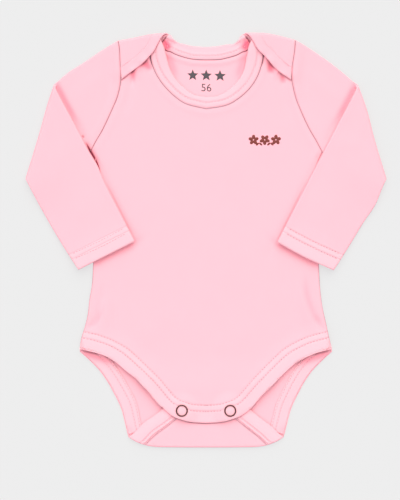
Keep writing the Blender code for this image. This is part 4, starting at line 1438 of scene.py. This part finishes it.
class ClothSettings(bpy.types.PropertyGroup):
    """The knit cloth."""

    wall: length_property("Wall", "Thickness of one layer", 0.001)
    colour: colour_property("Colour", "Main pink of the cloth", "#FAB5BF")
    shade_colour: colour_property("Mottle", "Pink that it is softly mottled with", "#F9B3BD")
    double_colour: colour_property("Doubled", "Pink of a hem or band, as less shows through it", "#FAB9C2")
    # Painted shade: the deeper pink that the hollows are given
    hollow_shade_colour: colour_property("Hollow", "Pink deep in a hollow", "#F77389")
    # Painted shade: the dark line in a seam's narrow gap, at the tail hem's step and along a side seam's
    # roll
    seam_shade_colour: colour_property("Seam line", "Cool grey of the gap that a seam leaves", "#1A5C68")
    # Painted shade: the colour deep in a tight crease, under a free edge and in the back neck band's seam
    crease_shade_colour: colour_property("Crease", "Colour deep in a tight crease", "#6E0C2A")
    wale: length_property("Wale spacing", "Width of a column of loops", 0.0011)
    course: length_property("Course spacing", "Height of a row of loops", 0.0009)
    knit_strength: FloatProperty(
        name="Knit relief", description="Strength of the knit's relief", default=0.25, min=0.0, max=1.0
    )


class SewingSettings(bpy.types.PropertyGroup):
    """The coverstitch along hems and neck bands."""

    # Partly painted shade: this thread is drawn greyer than its pink, for the shade in its needle holes
    colour: colour_property("Thread", "Colour of the thread", "#BE95A2")
    pale_colour: colour_property(
        "Pale thread", "Colour of the thread of the neck bands and the tail", "#EDB3BF"
    )
    pitch: length_property("Stitch pitch", "From one stitch to the next", 0.0028)
    length: length_property("Stitch length", "Length that shows of a stitch", 0.0018)
    width: length_property("Thread width", "Thickness of the thread", 0.0006)


class SnapSettings(bpy.types.PropertyGroup):
    """The ring snaps."""

    colour: colour_property("Metal", "Colour of the plating", "#563A3B")
    worn_colour: colour_property("Worn metal", "Colour where it is rubbed", "#6E4E4C")
    roughness: FloatProperty(name="Roughness", description="Of the metal", default=0.38, min=0.0, max=1.0)
    segments: IntProperty(name="Segments", description="Round a ring", default=72, min=12, max=256)


class MotifSettings(bpy.types.PropertyGroup):
    """The embroidery on the chest and the print inside the neck."""

    thread_colour: colour_property("Embroidery", "Colour of the flowers", "#7A2E25")
    ink_colour: colour_property("Ink", "Colour of the print", "#575054")
    size: StringProperty(name="Size", description="Size printed inside the neck", default="56")


class StudioSettings(bpy.types.PropertyGroup):
    """Floor, lights and camera."""

    floor_colour: colour_property("Floor", "Colour of the floor", "#707070")
    camera_height: length_property("Camera height", "Above the floor", 1.5)
    lens: FloatProperty(name="Lens", description="Focal length in millimetres", default=120.0, min=10.0)
    floor_glow: FloatProperty(
        name="Floor glow", description="Light that comes through the floor", default=0.622, min=0.0
    )
    key: FloatProperty(name="Key light", description="Strength of the soft light", default=2.62, min=0.0)
    fill: FloatProperty(
        name="Fill light", description="Strength of the light opposite", default=0.875, min=0.0
    )
    sky: FloatProperty(name="Surround", description="Strength of the even light", default=0.5625, min=0.0)


def sew(name, runs, surface):
    """One joined piece of many stitches. Each run is the places and normals of a row, in millimetres."""
    settings = bpy.context.scene.bodysuit_sewing
    bm = bmesh.new()
    half = Vector((settings.length / 2, settings.width / 2, settings.width / 2))
    for places, up in runs:
        for start, end, normal in zip(places[:-1], places[1:], up):
            along = Vector(end - start).normalized()
            normal = Vector(normal).normalized()
            beside = normal.cross(along).normalized()
            middle = Vector((start + end) / 2) * MM
            turned = Matrix((along, beside, normal)).transposed().to_4x4()
            matrix = Matrix.Translation(middle) @ turned @ Matrix.Diagonal((*half, 1))
            bmesh.ops.create_uvsphere(
                bm, u_segments=STITCH_SIDES[0], v_segments=STITCH_SIDES[1], radius=1.0, matrix=matrix
            )
    return piece(mesh_of(name, bm), surface)


def stitch_run(line, place, lift=0.0, up_sign=1):
    """Places and normals of a row of stitches along a pattern line, on the face that place gives."""
    pitch = bpy.context.scene.bodysuit_sewing.pitch / MM
    count = int(lengths(line)[-1] / pitch)
    on = at_lengths(line, np.arange(count + 1) * pitch)
    here = settled(place(on))
    along = settled(place(on + (STITCH_STEP, 0))) - here
    across = settled(place(on + (0, STITCH_STEP))) - here
    normal = np.cross(along, across)
    normal /= np.linalg.norm(normal, axis=1)[:, None]
    normal *= up_sign
    return here + normal * (lift + STITCH_LIFT), normal


def both_sides(line):
    """A line that starts on the centre line, with its mirror image before it."""
    return np.vstack([line[:0:-1] * (-1, 1), line])


def away_from_snaps(run):
    """The stretches of a row of stitches that are clear of the snaps."""
    places, up = run
    clear = np.hypot(np.abs(places[:, 0]) - SNAP_OUT, places[:, 1] - SNAP_UP) > SNAP_CLEAR
    parts, start = [], None
    for i, is_clear in enumerate([*clear, False]):
        if is_clear and start is None:
            start = i
        if not is_clear and start is not None:
            if i - start > 1:
                parts.append((places[start:i], up[start:i]))
            start = None
    return parts


class BODYSUIT_OT_back(bpy.types.Operator):
    """Make the back with its laps and tail, and its leg hems turned to the inside"""

    bl_idname = "bodysuit.back"
    bl_label = "Back"

    def execute(self, context):
        settings = context.scene.bodysuit_cloth
        rows = back_pattern()

        def marks(p):
            half = right_side(p)
            from_edge, from_neck = from_tail_edge(p), distance(half, BACK_NECK_LINE)
            tail, lap = turned_up(p), over_shoulder(p)
            from_hem = (from_edge - TAIL_VALLEY_AT) / SEAM_CREASE
            # Painted shade: the lines of the tail's hem and seams, the shade under the tab's end and at the
            # neck, and the hollows' pink
            seam = deepest(
                (np.where(tail > 0, from_hem, np.copysign(FAR, from_hem)), TAIL_HEM_DEPTH * tail),
                (from_neck / SEAM_CREASE, back_neck_depth(half, lap)),
                (distance(half, LAP_ARMHOLE_LINE) / SEAM_CREASE, LAP_ARMHOLE_DEPTH * lap),
            )
            doubled = tail * in_tail_hem(from_edge)
            hollow = (1 - lap) * relief(BACK_HOLLOWS, p[:, 0], p[:, 1])
            row = row_of(from_edge, TAIL_ROWS_AT) + ROWS_CLEAR * (1 - turned_up(p, LOW_HALF))
            past_tab = back_face(p)[:, 1] - read(TAB_LINE, 0, half[:, 0])
            shade = TAB_SHADE * tail * (1 - ease(half[:, 0], *TAB_SHADE_OUT))
            crease = deepest(
                under_edge(past_tab, TAB_SHADE_WIDTH, shade),
                back_neck_shade(half, from_neck, lap),
            )
            return row, (*seam, doubled), (*crease, hollow)

        bm = grid(rows, rows * MM)
        cut_folds(bm)
        bmesh.ops.reverse_faces(bm, faces=bm.faces[:])
        back = cloth("back_cloth", bm, back_place, marks, settings.wall, cloth_material())
        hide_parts("back_panel")
        [self.leg_hem(word, side, settings) for word, side in SIDES]
        return {"FINISHED"}

    def leg_hem(self, word, side, settings):
        """The turned layer of one leg's hem, on the back's inside."""
        line = back_leg_line()

        def place(p):
            at = back_face(p * (side, 1, 1))
            at[:, 2] += settings.wall / MM + LEG_HEM_WALL + LEG_HEM_LIFT
            return at * (side, 1, 1)

        def marks(p):
            row = row_of(distance(right_side(p), line), LEG_HEM_ROWS_AT)
            # Painted shade: the crease lines and hollows by the leg opening
            crease = creased(LEG_HEM_CREASES, p[:, 0], p[:, 1])
            return row, (FAR, 0.0, 1.0), (*crease, relief(LEG_HEM_HOLLOWS, p[:, 0], p[:, 1]))

        strip = half_strip(LEG_HEM_COLUMNS)
        bm = grid(strip * (side, 1), strip * MM)
        if side > 0:
            bmesh.ops.reverse_faces(bm, faces=bm.faces[:])
        name = f"leg_hem_back_{word}"
        return cloth(name, bm, place, marks, LEG_HEM_WALL * MM, cloth_material())


class BODYSUIT_OT_front(bpy.types.Operator):
    """Make the front with its crotch tab"""

    bl_idname = "bodysuit.front"
    bl_label = "Front"

    def execute(self, context):
        settings = context.scene.bodysuit_cloth
        rows = front_pattern()
        edge = front_edge()
        bm = grid(rows, rows * MM)

        def marks(p):
            half = right_side(p)
            from_edge, from_neck = distance(half, edge), distance(half, FRONT_NECK_LINE)
            from_side = half_width(half[:, 1]) - EDGE_RADIUS + ROLL_LENGTH - half[:, 0]
            # Painted shade: the lines of the side rolls and the neck and armhole seams, the creases, the
            # shade under the laps and the hollows
            seam = deepest(
                (from_side / SIDE_SHADE_WIDTH, SIDE_SHADE * rolled(half[:, 1])),
                (from_neck / SEAM_CREASE, front_neck_depth(p[:, 1])),
                (distance(half, ARMHOLE_LINE) / SEAM_CREASE, ARMHOLE_DEPTH),
            )
            doubled = 1 - ease(from_edge - LEG_ROWS_AT[1], *HEM_STEP)
            crease = deepest(creased(FRONT_CREASES, p[:, 0], p[:, 1]), under_lap(p))
            hollow = relief(FRONT_HOLLOWS, p[:, 0], p[:, 1])
            return row_of(from_edge, LEG_ROWS_AT), (*seam, doubled), (*crease, hollow)

        front = cloth("front_cloth", bm, front_place, marks, settings.wall, cloth_material())
        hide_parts("front_panel")
        return {"FINISHED"}


def band_profile(from_seam, width, row_at):
    """Height of a folded neck band's outer face, from its seam to its free edge."""
    drop, reach = BAND_EDGE
    dome = BAND_DOME * np.sin(np.clip(from_seam / width, 0, 1) * math.pi)
    valley = BAND_VALLEY[0] * bell(from_seam, 0, BAND_VALLEY[1])
    dip = BAND_ROW_DIP[0] * bell(from_seam, row_at, BAND_ROW_DIP[1])
    return dome - valley - dip - drop * (1 - ease(width - from_seam, 0, reach))


def front_band_place(p):
    """The front neck band's outer face, which comes down to the back's inside at its free edge."""
    half = right_side(p)
    from_seam = distance(half, FRONT_NECK_LINE)
    from_edge = distance(half, FRONT_NECK_EDGE_LINE)
    low = ease(from_seam / (from_seam + from_edge + 1e-6), BAND_SETTLE_FROM, 1.0)
    settle = BAND_SETTLE * low * (1 - ease(np.abs(p[:, 0]), *BAND_SETTLE_OUT))
    profile = band_profile(from_seam, from_seam + from_edge, FRONT_BAND_ROW)
    deep = BODY_HEIGHT + FRONT_BAND_PROUD - settle + profile + tall_neck(p[:, 0], p[:, 1])
    return np.column_stack([p[:, 0], p[:, 1], deep])


def back_band_place(p):
    """The back neck band's outer face, which lies down at the neck and folds over with the laps."""
    place = back_face(p)
    half = right_side(p)
    x, y = place[:, 0], place[:, 1]
    lap = over_shoulder(p)
    from_seam, from_edge = distance(half, BACK_NECK_LINE), distance(half, BACK_NECK_EDGE_LINE)
    drop, reach = LAP_BAND_EDGE
    depth, width = BAND_VALLEY
    edge_round = drop * (1 - ease(from_edge, 0, reach)) + LAP_SEAM_SHARE * depth * bell(from_seam, 0, width)
    place[:, 2] += lap * (tall_neck(x, y) + spots(LAP_RISES, x, y) + BAND_OVER_LAP - edge_round)
    place[:, 2] += (1 - lap) * neck_rise(from_seam, x, y)
    return place


class BODYSUIT_OT_neck_bands(bpy.types.Operator):
    """Make the folded bands along the front's and the back's neck"""

    bl_idname = "bodysuit.neck_bands"
    bl_label = "Neck bands"

    def execute(self, context):
        lines = {
            "front": [curve(points(t), BAND_COLUMNS) for t in (FRONT_NECK_SEAM, FRONT_NECK_EDGE)],
            "back": back_neck(BAND_COLUMNS),
        }
        for word, place in (("front", front_band_place), ("back", back_band_place)):
            seam, edge = lines[word]
            rows = band_rows(seam, edge)
            run = both_sides(np.column_stack([lengths(seam), np.zeros(len(seam))]))[:, 0]
            across = np.linspace(0, BAND_CUT, BAND_ACROSS + 1)
            cut = np.stack(np.broadcast_arrays(run[None, :], across[:, None]), axis=2) * MM
            bm = grid(rows, cut)
            if word == "back":
                cut_folds(bm)
                bmesh.ops.reverse_faces(bm, faces=bm.faces[:])
            row_at = FRONT_BAND_ROW if word == "front" else BACK_BAND_ROW

            def marks(p, seam=seam, row_at=row_at, word=word):
                half = right_side(p)
                from_seam = distance(half, seam)
                # Painted shade: the seam's line, the shade under a lap and in the back band's seam, and the
                # hollows
                across, row = from_seam / SEAM_CREASE, 1 - from_seam / row_at
                if word == "front":
                    return row, (across, front_neck_depth(p[:, 1]), 1.0), (*under_lap(p), 0.0)
                lap = over_shoulder(p)
                row = row - ROWS_CLEAR * over_shoulder(p, LOW_HALF)
                hollow = (1 - lap) * relief(BACK_HOLLOWS, p[:, 0], p[:, 1])
                shade = back_neck_shade(half, from_seam, lap)
                return row, (across, back_neck_depth(half, lap), 1.0 - lap), (*shade, hollow)

            name, wall = f"neck_binding_{word}", BAND_WALL * MM
            band = cloth(name, bm, place, marks, wall, binding_material())
            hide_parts(f"neck_band_{word}")
        return {"FINISHED"}


class BODYSUIT_OT_sleeves(bpy.types.Operator):
    """Make both sleeves, folded over the front"""

    bl_idname = "bodysuit.sleeves"
    bl_label = "Sleeves"

    def execute(self, context):
        settings = context.scene.bodysuit_cloth
        for word, side in SIDES:
            rows, cut = sleeve_rows(side)
            bm = grid(rows, cut * MM)
            bmesh.ops.remove_doubles(bm, verts=bm.verts[:], dist=MERGE)
            if side > 0:
                bmesh.ops.reverse_faces(bm, faces=bm.faces[:])

            def marks(p, side=side):
                x, y, z = p.T
                # Painted shade: the armhole seam's line, the creases and the hollows
                from_cuff = cuff_distance(x, y)
                on_near = ease(z, *HEAD_DEEP) * (1 - ease(z, *NEAR_FOLDS_AT[2:]))
                from_seam = distance(p[:, :2], ARMHOLE_LINE) / SEAM_CREASE
                doubled = 1 - ease(from_cuff - CUFF_ROWS_AT[1], *HEM_STEP)
                across, depth = creased(SLEEVE_CREASES, side * x, y)
                hollow = relief(SLEEVE_HOLLOWS, side * x, y) * on_near
                row = row_of(from_cuff, CUFF_ROWS_AT)
                seam = from_seam, ARMHOLE_DEPTH * on_near, doubled
                return row, seam, (across, depth * on_near, hollow)

            place = partial(sleeve_shape, side=side)
            made = cloth(f"sleeve_cloth_{word}", bm, place, marks, settings.wall, cloth_material())
            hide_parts(f"sleeve_{word}")
        return {"FINISHED"}


class BODYSUIT_OT_stitching(bpy.types.Operator):
    """Sew the rows of stitches along the hems and the neck bands"""

    bl_idname = "bodysuit.stitching"
    bl_label = "Stitching"

    def execute(self, context):
        sew("stitching_leg_front", self.front_hem(), thread_material())
        sew("stitching_tail", self.tail(), pale_thread_material())
        sew("stitching_leg_back", self.back_hems(context.scene.bodysuit_cloth.wall / MM), thread_material())
        for word, side in SIDES:
            sew(f"stitching_cuff_{word}", self.cuff(side), thread_material())
        sew("stitching_neck", self.bands(), pale_thread_material())
        return {"FINISHED"}

    def front_hem(self):
        """Both rows along the front's leg edges and tab."""
        runs = []
        for at in LEG_ROWS_AT:
            line = both_sides(inset(front_edge(), at))
            line = line[np.abs(line[:, 0]) < half_width(line[:, 1]) - SEAM_CLEAR]
            runs += away_from_snaps(stitch_run(line, front_place))
        return runs

    def tail(self):
        """Both rows along each edge of the tail."""
        runs = []
        for at in TAIL_ROWS_AT:
            laid = inset(TAIL_RUN_LINE[::-1], at)[::-1]
            laid = at_lengths(laid, np.linspace(0, lengths(laid)[-1], LINE_STEPS))
            laid = laid[laid[:, 1] > read(CROTCH_LINE, 0, laid[:, 0]) + TAIL_TURN_CLEAR]
            for _, side in SIDES:
                line = unfold(laid, CROTCH_LINE, TAIL_RADIUS, -1) * (side, 1)
                runs.append(stitch_run(line, back_place, up_sign=-1))
        return runs

    def back_hems(self, wall):
        """Both rows along each of the back's leg hems."""

        def on_hem(p):
            return back_face(p) + (0, 0, wall + LEG_HEM_WALL)

        leg = back_leg_line()
        leg = leg[leg[:, 1] > CROTCH[-1].up + LEG_START]
        runs = []
        for at in LEG_HEM_ROWS_AT:
            for _, side in SIDES:
                line = inset(leg, at)
                line = line[line[:, 0] < half_width(line[:, 1]) - LEG_SEAM_CLEAR] * (side, 1)
                runs.append(stitch_run(line, on_hem))
        return runs

    def cuff(self, side):
        """Both rows along a cuff."""

        def top(p):
            z = BODY_HEIGHT + SLEEVE_LIFT - SLEEVE_LIFT * (1 - on_body(p[:, 0], p[:, 1]))
            return sleeve_shape(np.column_stack([p, z]), side) * (side, 1, 1)

        inward = np.array((CUFF_RUN[1], -CUFF_RUN[0]))
        runs = []
        for at in CUFF_ROWS_AT:
            ends = (
                CUFF_OUTER + inward * at + CUFF_RUN * CUFF_CLEAR,
                CUFF_INNER + inward * at - CUFF_RUN * CUFF_CLEAR,
            )
            places, up = stitch_run(np.array(ends), top)
            runs.append((places * (side, 1, 1), up * (side, 1, 1)))
        return runs

    def bands(self):
        """A row along each neck band."""

        def on_band(p):
            return back_band_place(p) + (0, 0, BAND_WALL)

        front = both_sides(inset(FRONT_NECK_LINE, FRONT_BAND_ROW)[::4])
        back = both_sides(inset(BACK_NECK_LINE, BACK_BAND_ROW))
        return [
            stitch_run(front[front[:, 1] < FRONT_BAND_TOP], front_band_place, BAND_STITCH_LIFT),
            stitch_run(back[np.abs(back[:, 0]) < BACK_BAND_OUT], on_band),
        ]


class BODYSUIT_OT_snaps(bpy.types.Operator):
    """Make the snaps' rings, and give the snap parts between the layers their metal"""

    bl_idname = "bodysuit.snaps"
    bl_label = "Snaps"

    def execute(self, context):
        settings = context.scene.bodysuit_snaps
        metal = metal_material()
        for word, _ in SIDES:
            for part in ("socket", "stud", "ring"):
                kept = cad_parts[f"snap_{part}_{word}"]
                kept.data.materials.clear()
                kept.data.materials.append(metal)
            low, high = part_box(f"snap_cap_{word}")
            middle, height = (low + high) / 2, high.z - low.z
            bm = bmesh.new()
            upright = Matrix.Rotation(math.pi / 2, 4, "X")
            wire = bmesh.ops.create_circle(bm, segments=WIRE_SIDES, radius=0.5, matrix=upright)
            verts = wire["verts"]
            bmesh.ops.scale(bm, vec=(SNAP_WIRE * MM, 1.0, height), verts=verts)
            bmesh.ops.translate(bm, vec=(SNAP_RING * MM, 0, 0), verts=verts)
            bmesh.ops.spin(
                bm,
                geom=bm.edges[:],
                cent=(0, 0, 0),
                axis=(0, 0, 1),
                angle=2 * math.pi,
                steps=settings.segments,
                use_merge=True,
            )
            bmesh.ops.remove_doubles(bm, verts=bm.verts[:], dist=0.000001)
            bmesh.ops.recalc_face_normals(bm, faces=bm.faces[:])
            bmesh.ops.translate(bm, vec=(middle.x, middle.y, middle.z), verts=bm.verts[:])
            ring = piece(mesh_of(f"snap_cap_ring_{word}", bm), metal)
            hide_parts(f"snap_cap_{word}")
        return {"FINISHED"}


def laid_on(bm, verts, place, base):
    """Moves these vertices, laid out flat, onto the face that place gives, this far above it."""
    at = np.array([(v.co.x / MM, v.co.y / MM, 0.0) for v in verts])
    moved = settled(place(at)) * MM
    for vert, new in zip(verts, moved):
        vert.co = (new[0], new[1], new[2] + base * MM + vert.co.z)


def satin_dab(bm, layer, dab):
    """A domed patch of satin stitch, with its own place across and along it for the threads."""
    turned = Matrix.Rotation(dab.turn, 4, "Z")
    sized = Matrix.Diagonal((dab.long / 2 * MM, dab.wide / 2 * MM, SATIN_RISE * MM, 1))
    matrix = Matrix.Translation((dab.out * MM, dab.up * MM, 0)) @ turned @ sized
    round_it, up_it = SATIN_STEPS
    made = bmesh.ops.create_uvsphere(bm, u_segments=round_it, v_segments=up_it, radius=1.0, matrix=matrix)
    back = sized @ matrix.inverted()
    for vert in made["verts"]:
        vert[layer] = back @ vert.co


class BODYSUIT_OT_motifs(bpy.types.Operator):
    """Embroider three flowers on the chest, and print stars and the size inside the neck"""

    bl_idname = "bodysuit.motifs"
    bl_label = "Motifs"

    def execute(self, context):
        settings = context.scene.bodysuit_motifs
        bm = bmesh.new()
        layer = bm.verts.layers.float_vector.new("cut")
        dab = namedtuple("Dab", "out up turn long wide")
        for flower in FLOWERS:
            for k in range(PETALS):
                angle = flower.turn + 2 * math.pi * k / PETALS
                out = flower.out + PETAL_AT * math.cos(angle)
                up = flower.up + PETAL_AT * math.sin(angle)
                satin_dab(bm, layer, dab(out, up, angle, *PETAL))
        for leaf in LEAVES:
            satin_dab(bm, layer, dab(leaf.out, leaf.up, leaf.turn, *LEAF))
        laid_on(bm, bm.verts[:], front_place, 0.0)
        piece(mesh_of("chest_flowers", bm), embroidery(settings.thread_colour))

        bm = bmesh.new()
        for out in STARS_OUT:
            matrix = Matrix.Translation((out * MM, STARS_UP * MM, 0))
            star = bmesh.ops.create_circle(
                bm, cap_ends=True, segments=2 * STAR_POINTS, radius=STAR_RADIUS * MM, matrix=matrix
            )["verts"]
            for vert in star:
                vert.co.z = 0.0
            bmesh.ops.scale(bm, vec=(STAR_WAIST, STAR_WAIST, 1), space=matrix.inverted(), verts=star[1::2])
        letters = bpy.data.curves.new("size", "FONT")
        letters.body = settings.size
        letters.size = SIZE_HIGH * MM
        letters.align_x = letters.align_y = "CENTER"
        writing = bpy.data.objects.new("size", letters)
        flat = bpy.data.meshes.new_from_object(writing)
        flat.transform(Matrix.Translation((0, SIZE_UP * MM, 0)))
        bm.from_mesh(flat)
        bpy.data.meshes.remove(flat)
        bpy.data.objects.remove(writing)
        bpy.data.curves.remove(letters)
        bmesh.ops.recalc_face_normals(bm, faces=bm.faces[:])
        bmesh.ops.reverse_faces(bm, faces=[f for f in bm.faces if f.normal.z < 0])
        wall = context.scene.bodysuit_cloth.wall / MM
        laid_on(bm, bm.verts[:], back_place, wall + INK_RISE)
        piece(mesh_of("neck_print", bm), screen_ink(settings.ink_colour))
        return {"FINISHED"}


class BODYSUIT_OT_stage(bpy.types.Operator):
    """Make the floor, the lights and the camera"""

    bl_idname = "bodysuit.stage"
    bl_label = "Stage"

    def execute(self, context):
        settings = context.scene.bodysuit_studio
        bm = bmesh.new()
        bmesh.ops.create_grid(bm, x_segments=1, y_segments=1, size=FLOOR_HALF)
        mesh = mesh_of("floor", bm)
        surface, tree, shader = new_material("light table of opal acrylic")
        shader.inputs["Base Color"].default_value = (*settings.floor_colour, 1.0)
        shader.inputs["Emission Color"].default_value = (1.0, 1.0, 1.0, 1.0)
        shader.inputs["Emission Strength"].default_value = settings.floor_glow
        shader.inputs["Roughness"].default_value = 0.9
        shader.inputs["Specular IOR Level"].default_value = 0.1
        mesh.materials.append(surface)
        floor = bpy.data.objects.new("floor", mesh)
        floor.location.z = -FLOOR_DROP
        context.scene.collection.objects.link(floor)
        lights = table(
            "name x y z power spread colour",
            ("key", 0.15, 1.0, 1.15, settings.key, 70.0, (1.035, 1.02, 0.94)),
            ("fill", -0.8, -0.7, 1.3, settings.fill, 90.0, (0.97, 0.98, 1.05)),
        )
        for light in lights:
            lamp = bpy.data.lights.new(light.name, "SUN")
            lamp.energy = light.power
            lamp.color = light.colour
            lamp.angle = math.radians(light.spread)
            lit = bpy.data.objects.new(light.name, lamp)
            lit.location = (light.x, light.y, light.z)
            lit.rotation_euler = (-lit.location).to_track_quat("-Z", "Y").to_euler()
            context.scene.collection.objects.link(lit)
        world = bpy.data.worlds.new("even surround")
        world.use_nodes = True
        world.node_tree.nodes["Background"].inputs["Color"].default_value = (0.97, 0.98, 1.05, 1)
        world.node_tree.nodes["Background"].inputs["Strength"].default_value = settings.sky
        context.scene.world = world
        context.scene.view_settings.view_transform = "Standard"
        camera = bpy.data.objects.new("camera", bpy.data.cameras.new("camera"))
        camera.data.lens = settings.lens
        camera.data.sensor_width = 36.0
        camera.location = (CAMERA_AT[0] * MM, CAMERA_AT[1] * MM, settings.camera_height)
        context.scene.collection.objects.link(camera)
        context.scene.camera = camera
        return {"FINISHED"}


class BODYSUIT_PT_pieces(bpy.types.Panel):
    """The bodysuit's pieces, in the order in which they are made"""

    bl_label = "Baby bodysuit"
    bl_idname = "BODYSUIT_PT_pieces"
    bl_space_type = "VIEW_3D"
    bl_region_type = "UI"
    bl_category = "Bodysuit"

    def draw(self, context):
        for operator in OPERATORS:
            self.layout.operator(operator.bl_idname)
        for name, group in SETTINGS.items():
            box = self.layout.box()
            box.label(text=name.replace("_", " "))
            for prop in group.__annotations__:
                box.prop(getattr(context.scene, name), prop)


SETTINGS = {
    "bodysuit_cloth": ClothSettings,
    "bodysuit_sewing": SewingSettings,
    "bodysuit_snaps": SnapSettings,
    "bodysuit_motifs": MotifSettings,
    "bodysuit_studio": StudioSettings,
}
OPERATORS = (
    BODYSUIT_OT_stage,
    BODYSUIT_OT_back,
    BODYSUIT_OT_front,
    BODYSUIT_OT_neck_bands,
    BODYSUIT_OT_sleeves,
    BODYSUIT_OT_stitching,
    BODYSUIT_OT_snaps,
    BODYSUIT_OT_motifs,
)


def register():
    """Registers the settings, operators and panel."""
    for name, group in SETTINGS.items():
        bpy.utils.register_class(group)
        setattr(bpy.types.Scene, name, PointerProperty(type=group))
    for each in (*OPERATORS, BODYSUIT_PT_pieces):
        bpy.utils.register_class(each)


def unregister():
    """Takes them away again."""
    for each in (BODYSUIT_PT_pieces, *reversed(OPERATORS)):
        bpy.utils.unregister_class(each)
    for name, group in SETTINGS.items():
        delattr(bpy.types.Scene, name)
        bpy.utils.unregister_class(group)


def main():
    """Makes every piece."""
    register()
    for operator in OPERATORS:
        group, name = operator.bl_idname.split(".")
        getattr(getattr(bpy.ops, group), name)()


if __name__ == "__main__":
    main()
